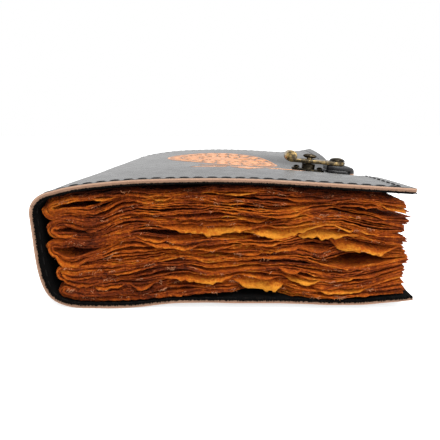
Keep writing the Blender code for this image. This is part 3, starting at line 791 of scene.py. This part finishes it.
for side, places in edge_places.items():
    out = np.zeros((LEAVES, len(places)))
    curl = np.zeros((LEAVES, len(places)))
    seed = 11.0 * len(side) + ord(side[0])
    for leaf in range(LEAVES):
        on_top = max(0.0, 1 - leaf / TOP_LEAVES)
        level = LEAF_OUT * waver(leaf * 1.37, seed, 0.0) - TOP_SET_BACK * on_top - SET_BACK
        for index, spot in enumerate(places):
            clump = CLUMP_OUT * waver(30 * spot, leaf / 4.5, seed)
            wide = WIDE_OUT * waver(80 * spot, leaf / 1.7, seed + 3)
            torn = TORN_OUT * waver(340 * spot, leaf * 0.9, seed)
            fray = FRAY_OUT * waver(800 * spot, leaf * 1.7, seed)
            out[leaf, index] = level + clump + wide + torn + fray
            if side != "fore":
                shaded = max(0.0, 1 - leaf / SHADED_LEAVES) * ramp(spot, SHADED_X)
                out[leaf, index] -= SHADED_SET_BACK * shaded
    flaps = [(dice.randrange(2, LEAVES - 12), dice.uniform(places[6], places[-6]), dice.uniform(0.003, 0.011),
              dice.uniform(0.0006, 0.0022)) for flap in range(FLAPS)]
    if side == "tail":
        flaps += TAIL_FLAPS
    for leaf, spot, spread, drop in flaps:
        rise = np.exp(-((places - spot) / spread) ** 4)
        ragged = [0.92 + 0.4 * waver(110 * place, leaf, 1.0) + 0.35 * waver(520 * place, leaf, 2.0)
                  for place in places]
        hang = rise * np.clip(ragged, 0.1, 1.5)
        out[leaf] += FLAP_OUT * rise + FLAP_STRETCH * drop * hang
        curl[leaf] = np.maximum(curl[leaf], drop * hang)
        tear = min(DEEPEST_TEAR, 0.0016 + 0.8 * drop)
        last_covered = leaf + 2 + int(drop / DROP_PER_LEAF)
        for below in range(leaf + 1, min(LEAVES, last_covered + 1)):
            out[below] = np.minimum(out[below], out[below] * (1 - rise) - tear * rise)
    stands_out[side] = out
    curls[side] = curl
tail_corner = np.exp(-((edge_places["fore"] + HALF_PAGE) / CLUMP_CORNER) ** 2)
for leaf, edge in enumerate(stands_out["fore"]):
    clumped = float(np.interp(leaf, *zip(*CLUMPS))) + CLUMP_RAGGED * edge
    edge += (clumped - edge) * tail_corner


def along_edge(table, side, leaf, spot):
    """A leaf's value of an edge table at a place along that edge."""
    return float(np.interp(spot, edge_places[side], table[side][leaf]))


LEAF_RAGGED = (0.0014, 0.0010)
TOP_STEPPED_BACK = 0.0055
TOP_STEPPED_LEAVES = 13
LOW_STEPPED_OUT = 0.0020
LOW_LEAVES = (40, 20)


def leaf_edge_x(leaf):
    """Fore-edge of one leaf: ragged from leaf to leaf, stepped back over the topmost leaves and out below."""
    ragged = LEAF_RAGGED[0] * waver(leaf * 0.21, 7.0, 0.0) + LEAF_RAGGED[1] * waver(leaf * 0.83, 3.0, 0.0)
    on_top = max(0.0, 1 - leaf / TOP_STEPPED_LEAVES)
    return PAGE_EDGE_X + ragged - TOP_STEPPED_BACK * on_top + LOW_STEPPED_OUT * ramp(leaf, LOW_LEAVES)


CRINKLE = 0.00050
WAVE = 0.0013
PAST_STRAP = 0.0035
PAST_STRAP_Y = (0.010, 0.015)


def page_point(leaf, x, y, edge_share, on_fore_edge, on_head_or_tail):
    """A point of a leaf and how far it curls there. Its edge_share runs from 0 inside the deckle band to 1
    at the edge."""
    curl = 0.0
    if on_fore_edge:
        x += (BAND[0] + along_edge(stands_out, "fore", leaf, y)) * edge_share
        x = min(x, STRAP_LIMIT_X + PAST_STRAP * ramp(abs(y), PAST_STRAP_Y))
        curl += along_edge(curls, "fore", leaf, y) * edge_share ** 2
    if on_head_or_tail:
        side = "tail" if y < 0 else "head"
        y += math.copysign((BAND[0] + along_edge(stands_out, side, leaf, x)) * edge_share, y)
        curl += along_edge(curls, side, leaf, x) * edge_share ** 2
    crinkle = CRINKLE * waver(330 * x, 330 * y, leaf * 1.3)
    free = min(1.0, leaf / 12, (LEAVES - 1 - leaf) / 9)
    wave = WAVE * free * waver(75 * x, 75 * y, leaf / 6.5)
    return Vector((x, y, leaf_z(x, y, leaf) - curl + (crinkle + wave) * edge_share)), curl


# Dyed rag paper: soft matte felt of short fibres, stained from rust to amber, and pale at the torn deckle,
# partly from pale fibre and partly as a painted highlight where thin edges catch light
rag_paper, shader = finish_of("dyed_rag_paper", Roughness=0.92, Specular_IOR_Level=0.2)
position = add_node(rag_paper, "TexCoord", "Object")
stain = add_node(rag_paper, "TexNoise", "Fac", {"Vector": position},
                 {"Scale": per_metre(20), "Detail": 6.0, "Roughness": 0.65})
felt = add_node(rag_paper, "TexNoise", "Fac", {"Vector": position},
                {"Scale": per_metre(1.3), "Detail": 6.0, "Roughness": 0.75})
tone = add_node(rag_paper, "Attribute", "Fac", attribute_name="tone")
deckle = add_node(rag_paper, "Attribute", "Fac", attribute_name="deckle")
# The tone attribute carries painted light as well as stain: a painted highlight on curled flaps and painted
# shade under the front cover
stained = add_node(rag_paper, "Math", "Value", {0: stain, 1: tone}, operation="ADD")
mottled = add_node(rag_paper, "Math", "Value", {0: felt, 2: stained}, {1: 0.9}, operation="MULTIPLY_ADD")
strength = add_node(rag_paper, "MapRange", "Result", {"Value": mottled}, {"From Min": 0.60, "From Max": 1.38})
dyed = add_node(rag_paper, "ValToRGB", "Color", {"Fac": strength},
                stops=((0.06, "#3d1302"), (0.34, "#7c3106"), (0.60, "#b4560b"), (0.92, "#e0912a")))
# Pale deckle tips: partly pale fibre, partly a painted highlight of thin edges catching light
pale_tips_and_highlight = add_node(rag_paper, "Math", "Value", {0: felt, 1: deckle}, operation="MULTIPLY")
pale = add_node(rag_paper, "MapRange", "Result", {"Value": pale_tips_and_highlight},
                {"From Min": 0.60, "From Max": 0.88, "To Max": 0.75})
paper_colour = add_node(rag_paper, "Mix", 2, {"Factor": pale, "A": dyed}, {7: linear("#e2a57c")},
                        data_type="RGBA")
shade(rag_paper, shader, paper_colour, None, felt, 0.0010)

# Painted light in the tone: curled flaps are lightened as a painted highlight, and the top leaves under the
# front cover are darkened as painted shade
CURL_PAINTED_HIGHLIGHT = 75
LEAF_TONE = 0.2
TONE_SPREAD = 0.05
TONE_MOTTLE = 0.16
TOP_SHADE = 0.26
TOP_SHADE_LEAVES = (5, 7)
TOP_SHADE_X = (-0.010, 0.060)
SPINE_SHADE = 0.05
SPINE_SHADE_X = (0.005, 0.050)
HEEL_SHADE = 0.07
HEEL_LEAVES = (60, 30)


def page_tone(leaf, spot, curl, own):
    """Tone at a point: its leaf's own dye and mottle, lighter on a curl as a painted highlight, with painted
    shade on the top leaves under the front cover, and darker toward the spine.
    """
    fewest, more = TOP_SHADE_LEAVES
    painted_cover_shadow = max(0.0, 1 - leaf / (fewest + more * ramp(spot.x, TOP_SHADE_X)))
    by_spine = SPINE_SHADE + HEEL_SHADE * ramp(leaf, HEEL_LEAVES)
    mottled = own + CURL_PAINTED_HIGHLIGHT * curl + TONE_MOTTLE * waver(28 * spot.x, 28 * spot.y, leaf / 4.0)
    return mottled - TOP_SHADE * painted_cover_shadow - by_spine * ramp(-spot.x, SPINE_SHADE_X)


def folded_sheet(shape, fold_x, upper, lower):
    """Add one sheet to a gathering: cut flat with a fine border for its deckle, then folded in two."""
    columns = 2 * LEAF_COLUMNS + FOLD_COLUMNS
    flat = bmesh.new()
    bmesh.ops.create_grid(flat, x_segments=columns, y_segments=PAGE_ROWS, size=0.5,
                          matrix=Matrix.Diagonal((columns, 2, 1, 1)))
    border = [edge for edge in flat.edges if edge.is_boundary]
    on_leaf = [edge for edge in border if abs(edge.verts[0].co.x + edge.verts[1].co.x) > FOLD_COLUMNS]
    bmesh.ops.subdivide_edges(flat, edges=on_leaf, cuts=6)
    for band in range(1, len(BAND)):
        border = [edge for edge in flat.edges if edge.is_boundary]
        for vert in only_verts(bmesh.ops.extrude_edge_only(flat, edges=border)["geom"]):
            vert.co.z = band
    tones = flat.verts.layers.float.new("tone")
    deckles = flat.verts.layers.float.new("deckle")
    thinning = flat.verts.layers.deform.verify()
    leaf_tone = {leaf: LEAF_TONE * waver(leaf / 2.6, 9.0, 0.0) + dice.uniform(-TONE_SPREAD, TONE_SPREAD)
                 for leaf in (upper, lower)}
    for vert in flat.verts:
        column = vert.co.x + columns / 2
        on_fore_edge = column < TOUCHING or column > columns - TOUCHING
        on_head_or_tail = abs(vert.co.y) > 1 - TOUCHING
        edge_share = 1 - BAND[round(vert.co.z)] / BAND[0] if on_fore_edge or on_head_or_tail else 0.0
        leaf = upper if column < columns / 2 else lower
        turn = (column - LEAF_COLUMNS) / FOLD_COLUMNS
        open_share = max(0.0, 1 - min(column, columns - column) / LEAF_COLUMNS)
        y = vert.co.y * (HALF_PAGE - BAND[0])
        x = fold_x + (leaf_edge_x(leaf) - BAND[0] - fold_x) * open_share
        spot, curl = page_point(leaf, x, y, edge_share, on_fore_edge, on_head_or_tail)
        if 0 < turn < 1:
            high = leaf_z(fold_x, spot.y, upper)
            low = leaf_z(fold_x, spot.y, lower)
            radius = (high - low) / 2
            angle = math.pi * turn
            spot.x = fold_x - radius * math.sin(angle)
            spot.z = (high + low) / 2 + radius * math.cos(angle)
        vert.co = spot
        vert[deckles] = edge_share
        vert[tones] = page_tone(leaf, spot, curl, leaf_tone[leaf])
        fuzz = 0.5 + 0.5 * waver(700 * spot.x, 700 * spot.y, leaf * 1.9)
        swollen = 0.45 + 0.35 * fuzz if spot.x < SWOLLEN_X else fuzz - 0.25
        vert[thinning][0] = min(1.0, LEAF / DECKLE + swollen * edge_share ** 2)
    mesh = bpy.data.meshes.new("sheet")
    flat.to_mesh(mesh)
    flat.free()
    shape.from_mesh(mesh)
    bpy.data.meshes.remove(mesh)


def page_body(number):
    """The body that a signature moves with."""
    return "upper_pages" if number <= UPPER_SIGNATURES else "back_cover"


for number, fold_x in enumerate(FOLDS_X, 1):
    gathering = bmesh.new()
    middle = (2 * number - 1) * SHEETS
    for nested in range(SHEETS):
        folded_sheet(gathering, fold_x, middle - 1 - nested, middle + nested)
    leaves = wrapped(f"signature_{number}_leaves", gathering, rag_paper)
    leaves.vertex_groups.new(name="thinning")
    sheet = leaves.modifiers.new("paper", "SOLIDIFY")
    sheet.thickness = DECKLE
    sheet.offset = 0.0
    sheet.vertex_group = "thinning"
    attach(leaves, page_body(number))
    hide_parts(*[name for name in frame["nodes"] if name.startswith(f"signature_{number}_")])

# Loose fibres: rag fibres that the mould's frame has pulled out along the deckle, as fine tapered hairs.
# They are drawn a little coarser than real ones, so that the edges look fuzzy and not cut.
TUFTS = 95
TUFT_SIZES = (1, 2, 3, 5, 8, 12, 16)
TUFT_SPREAD = 0.0010
FIBRE_ROOT = 0.00016
FIBRE_SUNK = 0.0003
FIBRE_LEAN = 0.8
FIBRE_TONE = 0.12
# The fibres' deckle value is set high so that they render pale: partly pale rag, partly a painted highlight
# of fibres catching light
FIBRE_PALE_AND_HIGHLIGHT = 1.8

for number, fold_x in enumerate(FOLDS_X, 1):
    fuzz = bmesh.new()
    for tuft in range(TUFTS):
        leaf = 2 * (number - 1) * SHEETS + dice.randrange(2 * SHEETS)
        side = dice.choice(("tail", "tail", "head", "fore"))
        centre = dice.uniform(-0.088, 0.088) if side == "fore" else dice.uniform(fold_x, PAGE_EDGE_X - 0.010)
        for fibre in range(dice.choice(TUFT_SIZES)):
            spot = centre + dice.gauss(0.0, TUFT_SPREAD)
            if side == "fore":
                foot = page_point(leaf, leaf_edge_x(leaf) - BAND[0], spot, 1.0, True, False)[0]
                outward = Vector((1, 0, 0))
            else:
                end = -1 if side == "tail" else 1
                foot = page_point(leaf, spot, end * (HALF_PAGE - BAND[0]), 1.0, False, True)[0]
                outward = Vector((0, end, 0))
            lean = Vector((dice.uniform(-1.2, 1.2), dice.uniform(-1.2, 1.2), dice.uniform(-1.0, 0.7)))
            aim = (outward + lean * FIBRE_LEAN).normalized()
            add_strand(fuzz, foot - FIBRE_SUNK * aim, foot + dice.uniform(0.0005, 0.0018) * aim, FIBRE_ROOT)
    tones = fuzz.verts.layers.float.new("tone")
    deckles = fuzz.verts.layers.float.new("deckle")
    for vert in fuzz.verts:
        vert[tones] = FIBRE_TONE
        vert[deckles] = FIBRE_PALE_AND_HIGHLIGHT
    fibres = wrapped(f"signature_{number}_fibres", fuzz, rag_paper)
    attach(fibres, page_body(number))

# Sewing: one waxed linen thread to a gathering, along the middle of its fold, out through the spine at two
# stations and back along the outer face of the leather in one long stitch. Each thread is two plies laid
# round each other.
PLY_LAY = 0.0016
PLY_STEP = 0.0004
PLY_RADIUS = 0.62
PLY_OFFSET = 0.42

for number in range(1, SIGNATURES + 1):
    node = f"sewing_thread_{number}"
    low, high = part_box(node)
    radius = (high.z - low.z) / 2
    corners = [Vector((low.x, low.y)), Vector((high.x, low.y)), Vector((high.x, high.y)),
               Vector((low.x, high.y))]
    route = []
    for start, end in zip(corners, corners[1:] + corners[:1]):
        along = (end - start).normalized()
        inward = Vector((-along.y, along.x))
        length = (end - start).length
        for step in range(round(length / PLY_STEP)):
            reach = 3 * radius + (length - 6 * radius) * step * PLY_STEP / length
            route.append((start + along * reach + inward * radius, inward))
    plies = bmesh.new()
    for phase in (0, math.pi):
        curve = bpy.data.curves.new("ply", "CURVE")
        curve.dimensions = "3D"
        curve.bevel_depth = radius * PLY_RADIUS
        curve.bevel_resolution = 1
        spline = curve.splines.new("POLY")
        spline.points.add(len(route) - 1)
        spline.use_cyclic_u = True
        for step, (point, (spot, inward)) in enumerate(zip(spline.points, route)):
            twist = phase + math.tau * step * PLY_STEP / PLY_LAY
            aside = spot + inward * radius * PLY_OFFSET * math.cos(twist)
            point.co = (aside.x, aside.y, (low.z + high.z) / 2 + radius * PLY_OFFSET * math.sin(twist), 1.0)
        holder = linked("ply", curve)
        mesh = bpy.data.meshes.new_from_object(holder.evaluated_get(bpy.context.evaluated_depsgraph_get()))
        plies.from_mesh(mesh)
        bpy.data.objects.remove(holder)
        bpy.data.curves.remove(curve)
        bpy.data.meshes.remove(mesh)
    thread = wrapped(f"linen_thread_{number}", plies, waxed_thread)
    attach(thread, page_body(number))
    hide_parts(node)

# Strap: a strip of the same cowhide, its end sewn inside the back cover, up the fore-edge, over the bend and
# under the hasp, where its tab is cut round. Both long edges are stitched, and the cut edges are tan up to
# the bend and dyed past it.
STRAP = 0.0026
STRAP_WIDTH = 0.0160
STRAP_BEND = 0.0030
STRAP_ROUND = 0.0003
STRAP_STITCH_INSET = 0.0022
STRAP_FIRST_STITCH = 0.0060
ANCHOR_FIRST_STITCH = 0.0035
STRAP_STITCH_END = 0.002
STRAP_TANGENT_STEP = 0.0004
TAB_LENGTH = 0.0133
TAB_END = 0.0006
BEND_STEPS = 12
BEND_START = Vector((-0.0015, 0, 0.0002))
BEND_END = Vector((0.0015, 0, -0.0015))
HASP_SLOPE = math.radians(4.6)
ANCHOR = 0.0018
ANCHOR_SEAT = COVER_DEPTH + 0.0003
bend = axes["hasp_lift"]
hasp_frame = Matrix.Translation(bend) @ Matrix.Rotation(HASP_SLOPE, 4, "Y")
bend_centre = bend - Vector((0, 0, STRAP_BEND))
strap_line = [hasp_frame @ Vector((-TAB_LENGTH, 0, 0)), hasp_frame @ Vector((-TAB_END, 0, 0))]
for step in range(BEND_STEPS + 1):
    angle = math.radians(90 * (1 - step / BEND_STEPS))
    strap_line.append(bend_centre + STRAP_BEND * Vector((math.cos(angle), 0, math.sin(angle))))
strap_line.append(Vector((strap_line[-1].x, 0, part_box("strap_drop")[0].z)))
strap_run = np.cumsum([0.0] + [(end - start).length for start, end in zip(strap_line, strap_line[1:])])
STRAP_LENGTH = float(strap_run[-1])


def strap_point(run, y, height=0.0):
    """A point of the strap: run from the tab's round end, height over its outer face."""
    around = (run - STRAP_TANGENT_STEP, run, run + STRAP_TANGENT_STEP)
    before, spot, after = map(Vector, zip(*[np.interp(around, strap_run, axis) for axis in zip(*strap_line)]))
    along = (after - before).normalized()
    return spot + height * Vector((-along.z, 0, along.x)) + Vector((0, y, 0))


def tab_round(flat):
    """Cut the tab's end round, then bend the strap to its place."""
    corner = STRAP_WIDTH / 4
    near = max(0.0, corner - flat.x)
    half = STRAP_WIDTH / 2 - corner + math.sqrt(max(0.0, corner ** 2 - near ** 2))
    return strap_point(flat.x, flat.y * half / (STRAP_WIDTH / 2), flat.z)


def anchor_point(x, y, height=0.0):
    """A point of the strap's sewn end, x from its inner end, on the lining of the back cover."""
    x += ANCHOR_X
    return Vector((x, y, back_z(x) + ANCHOR_SEAT + ANCHOR + height))


def sewn(name, shape, cut, place, first, length):
    """A strap piece from a slab, with two rows of stitches from a first place on in its third material."""
    for vert in shape.verts:
        vert.co = cut(vert.co)
    for side in (-1, 1):
        for x in np.arange(first, length - STRAP_STITCH_END, STITCH_PITCH):
            row_y = side * (STRAP_WIDTH / 2 - STRAP_STITCH_INSET)
            stitch = add_stitch(shape, place, x, row_y, False, STITCH_RISE)
            for face in {face for vert in stitch for face in vert.link_faces}:
                face.material_index = 2
    return wrapped(name, shape, black_grain, tan_edge, waxed_thread)


strap_slab = slab(STRAP_LENGTH, STRAP_WIDTH, STRAP, 80, 12, STRAP_ROUND)
for face in strap_slab.faces:
    if face.calc_center_median().x < TAB_LENGTH + 2 * STRAP_BEND:
        face.material_index = 0
strap = sewn("closing_strap", strap_slab, tab_round, strap_point, STRAP_FIRST_STITCH, STRAP_LENGTH)
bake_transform(strap, "hasp", "front_cover", bend + BEND_START, bend + BEND_END)
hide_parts("strap_tab", "strap_drop")
anchor_length = BACK_EDGE_X - ANCHOR_X
anchor_slab = slab(anchor_length, STRAP_WIDTH, ANCHOR, 16, 10, STRAP_ROUND)
anchor = sewn("strap_end", anchor_slab, lambda flat: anchor_point(*flat), anchor_point, ANCHOR_FIRST_STITCH,
              anchor_length)
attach(anchor, "back_cover")
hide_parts("strap_anchor")

# Tab backing: a second layer of hide glued under the tab, so that the rivet's tail doesn't rub the cover.
# Its edges are dyed with the tab's.
BACKING = 0.0019

backing_slab = slab(TAB_LENGTH - TAB_END, STRAP_WIDTH, BACKING, 12, 8, STRAP_ROUND)
backing = wrapped("tab_backing", backing_slab, black_grain, black_grain,
                  place=lambda flat: tab_round(flat - Vector((0, 0, STRAP))))
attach(backing, "hasp")

# Brass furniture: stamped and turned brass, chemically darkened, then rubbed back so that it is bright along
# its edges; the lip's brightness is partly a painted highlight, and the lock's base is left dark as painted
# shade. The hasp plate with its rolled lip and the lock's base keep their stamped shape with edges
# rounded over, and a domed rivet holds the plate on the tab.
EDGE_ROUND = 0.0003
STAMPED_CORNER = 0.6
STAMPED_FLAT = math.radians(2)
SHARP_CREASE = math.radians(40)
RUBBED_DEPTH = 0.0012
PLATE_WEAR = 0.8
LIP_WIDTH = 0.0050
LIP_WEAR_AND_GLINT = 1.2
HASP_RIVET_X = -0.0061

# Antique brass: nearly black and dull where it is not rubbed, warm and polished where hands have rubbed it;
# its rubbing attribute also carries a painted highlight on the lip and painted shade on the lock's base
antique_brass, shader = finish_of("antique_brass", Metallic=1.0)
position = add_node(antique_brass, "TexCoord", "Object")
patina = add_node(antique_brass, "TexNoise", "Fac", {"Vector": position},
                  {"Scale": per_metre(2.4), "Detail": 5.0, "Roughness": 0.65})
wear_and_painted_light = add_node(antique_brass, "Attribute", "Fac", attribute_name="wear_and_painted_light")
rubbed = add_node(antique_brass, "Math", "Value", {0: wear_and_painted_light, 2: patina}, {1: 0.3}, operation="MULTIPLY_ADD")
patina_and_painted_light = add_node(antique_brass, "ValToRGB", "Color", {"Fac": rubbed},
                stops=((0.3, "#12100c"), (0.52, "#2a251d"), (0.75, "#574d3c"), (0.98, "#c2a46a")))
dull = add_node(antique_brass, "MapRange", "Result", {"Value": rubbed}, {"To Min": 0.55, "To Max": 0.28})
shade(antique_brass, shader, patina_and_painted_light, dull, patina, 0.00008)


def brass(name, shape, node, body):
    """Finish a brass piece that stands for a node and rides a body."""
    piece = wrapped(name, shape, antique_brass)
    piece.data.set_sharp_from_angle(angle=SHARP_CREASE)
    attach(piece, body)
    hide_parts(node)


def stamped(node, rubbing_and_shade):
    """A copy of a stamped node with its edges rounded over and brightened by the given amount; with none, as
    on the lock's base, it stays dark as painted shade.
    """
    shape = bmesh.new()
    shape.from_mesh(frame["nodes"][node].data)
    bmesh.ops.remove_doubles(shape, verts=shape.verts[:], dist=TOUCHING)
    bmesh.ops.dissolve_limit(shape, angle_limit=STAMPED_FLAT, verts=shape.verts[:], edges=shape.edges[:])
    sharp = [edge for edge in shape.edges if edge.is_manifold and edge.calc_face_angle() > STAMPED_CORNER]
    wear_and_light_layer = shape.verts.layers.float.new("wear_and_painted_light")
    rounded = bmesh.ops.bevel(shape, geom=sharp, offset=EDGE_ROUND, affect="EDGES", segments=2, profile=0.5,
                              material=-1)
    for vert in rounded["verts"]:
        vert[wear_and_light_layer] = rubbing_and_shade
    return shape


def turned(profile, seat, steps=40):
    """A turned piece: a profile (radius, height) from its top down its outer side, spun about the seat's Z.
    Its top is rubbed bright."""
    shape = bmesh.new()
    points = [shape.verts.new((radius, 0, height)) for radius, height in profile]
    edges = [shape.edges.new(pair) for pair in zip(points, points[1:])]
    bmesh.ops.spin(shape, geom=points + edges, axis=(0, 0, 1), cent=(0, 0, 0), angle=math.tau, steps=steps,
                   use_merge=True)
    bmesh.ops.remove_doubles(shape, verts=shape.verts[:], dist=TOUCHING)
    wear_and_light_layer = shape.verts.layers.float.new("wear_and_painted_light")
    top = profile[0][1]
    for vert in shape.verts:
        vert[wear_and_light_layer] = max(0.0, 1 - (top - vert.co.z) / RUBBED_DEPTH)
        vert.co = seat @ vert.co
    return shape


def rivet(head_radius, rise, seat_height, shank, tail_radius, tail_seat, tail):
    """Profile of a domed rivet from the top of its head to the face of its clenched tail."""
    angles = [math.pi / 2 * step / 8 for step in range(9)]
    dome = [(head_radius * math.sin(angle), seat_height + rise * math.cos(angle)) for angle in angles]
    return dome + [(shank, seat_height), (shank, tail_seat), (tail_radius, tail_seat),
                   (tail_radius, tail_seat - tail), (0, tail_seat - tail)]


hasp_plate = stamped("hasp_plate", PLATE_WEAR)
# The rolled lip is made brightest: partly rubbed by fingers, partly a painted highlight of its glint
wear_and_light_layer = hasp_plate.verts.layers.float["wear_and_painted_light"]
for vert in hasp_plate.verts:
    if vert.co.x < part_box("hasp_plate")[0].x + LIP_WIDTH:
        vert[wear_and_light_layer] = LIP_WEAR_AND_GLINT
brass("hasp", hasp_plate, "hasp_plate", "hasp")
# The lock's base gets no brightening and stays nearly black: painted shade for the dark space under the hasp
# plate
brass("lock_plate", stamped("lock_base", 0.0), "lock_base", "front_cover")
hasp_rivet_seat = hasp_frame @ Matrix.Translation((HASP_RIVET_X, 0, 0))
hasp_rivet = rivet(head_radius=0.0048, rise=0.0021, seat_height=0.0028, shank=0.0015, tail_radius=0.0030,
                   tail_seat=-0.0029, tail=0.0010)
brass("strap_rivet", turned(hasp_rivet, hasp_rivet_seat), "hasp_rivet", "hasp")

# Turn knob: an oval brass button on a turned neck, which turns in the bored boss of the lock's base.
# The base is held by two small domed rivets through the front cover.
BASE_RIVET_X = 0.0075
KNOB_SIZE = (0.0087, 0.0048, 0.0030)
KNOB_BOTTOM = 0.0080
KNOB_WEAR = 0.5
NECK_RADIUS = 0.0018
NECK_TOP = KNOB_BOTTOM + 0.001
NECK_DEPTH = 0.0022

lock_turn = next(joint["axis"] for joint in frame["joints"] if joint["name"] == "knob_turn")
lock_frame = Matrix.Translation(axes["knob_turn"]) @ Matrix.Rotation(math.asin(lock_turn[0]), 4, "Y")
base_rivet = rivet(head_radius=0.0021, rise=0.0014, seat_height=0.0018, shank=0.0010, tail_radius=0.0018,
                   tail_seat=-0.0020, tail=0.0008)
for number, side in ((1, -1), (2, 1)):
    seat = lock_frame @ Matrix.Translation((side * BASE_RIVET_X, 0, 0))
    brass(f"lock_rivet_{number}", turned(base_rivet, seat, 24), f"lock_base_rivet_{number}", "front_cover")
button = turned([(NECK_RADIUS, NECK_TOP), (NECK_RADIUS, NECK_DEPTH), (0, NECK_DEPTH)], lock_frame, 28)
wear_and_light_layer = button.verts.layers.float["wear_and_painted_light"]
oval = Matrix.Translation((0, 0, KNOB_BOTTOM + KNOB_SIZE[2] / 2)) @ Matrix.Diagonal((*KNOB_SIZE, 1))
ball = bmesh.ops.create_uvsphere(button, u_segments=32, v_segments=16, radius=0.5, matrix=lock_frame @ oval)
for vert in ball["verts"]:
    vert[wear_and_light_layer] = KNOB_WEAR
brass("knob", button, "turn_knob", "turn_knob")

# Studio: a white paper sweep that fades into a white room, a broad lamp above and in front of the book,
# a weaker and lower one off the tail corner of its fore-edge, and the camera at the photograph's place.
SWEEP = 3.0
SWEEP_DROP = 0.0003
SWEEP_GLOW = 0.75
ROOM_LIGHT = 0.45
LAMPS = (("top_lamp", (0.20, -0.45, 0.85), (30, 14, 0), 9.0),
         ("front_lamp", (0.50, -0.75, 0.35), (70, 0, 34), 3.4))
LAMP_SIZE = 0.6

world = bpy.data.worlds.new("studio")
bpy.context.scene.world = world
world.use_nodes = True
background = world.node_tree.nodes["Background"]
background.inputs["Color"].default_value = (1, 1, 1, 1)
seen = add_node(world, "LightPath", "Is Camera Ray")
for ray in ("Is Glossy Ray", "Is Transmission Ray"):
    also = add_node(world, "LightPath", ray)
    seen = add_node(world, "Math", "Value", {0: seen, 1: also}, operation="MAXIMUM")
level = add_node(world, "MapRange", "Result", {"Value": seen}, {"To Min": ROOM_LIGHT, "To Max": 1.0})
world.node_tree.links.new(background.inputs["Strength"], level)

# White sweep: matte paper, which glows to the camera alone, so that it looks white and still takes the shadow
white_sweep, shader = finish_of("white_sweep", Roughness=0.9)
shader.inputs["Base Color"].default_value = linear("#f4f4f4")
shader.inputs["Emission Color"].default_value = (1, 1, 1, 1)
looked_at = add_node(white_sweep, "LightPath", "Is Camera Ray")
glow = add_node(white_sweep, "Math", "Value", {0: looked_at}, {1: SWEEP_GLOW}, operation="MULTIPLY")
white_sweep.node_tree.links.new(shader.inputs["Emission Strength"], glow)
sweep = bmesh.new()
bmesh.ops.create_grid(sweep, x_segments=1, y_segments=1, size=SWEEP)
floor = wrapped("floor", sweep, white_sweep, place=lambda flat: flat - Vector((0, 0, SWEEP_DROP)))

for name, spot, turn, power in LAMPS:
    lamp = bpy.data.lights.new(name, "AREA")
    lamp.size = LAMP_SIZE
    lamp.energy = power
    holder = linked(name, lamp)
    holder.location = spot
    holder.rotation_euler = [math.radians(angle) for angle in turn]

lens = bpy.data.cameras.new("camera")
lens.sensor_width = 36.0
lens.lens = 33.84
lens.clip_start = 0.01
camera = linked("camera", lens)
camera.location = (0.0005, -0.2665, 0.0765)
camera.rotation_euler = (math.radians(77.3), 0, math.radians(0.69))
bpy.context.scene.camera = camera
bpy.context.scene.view_settings.view_transform = "Standard"
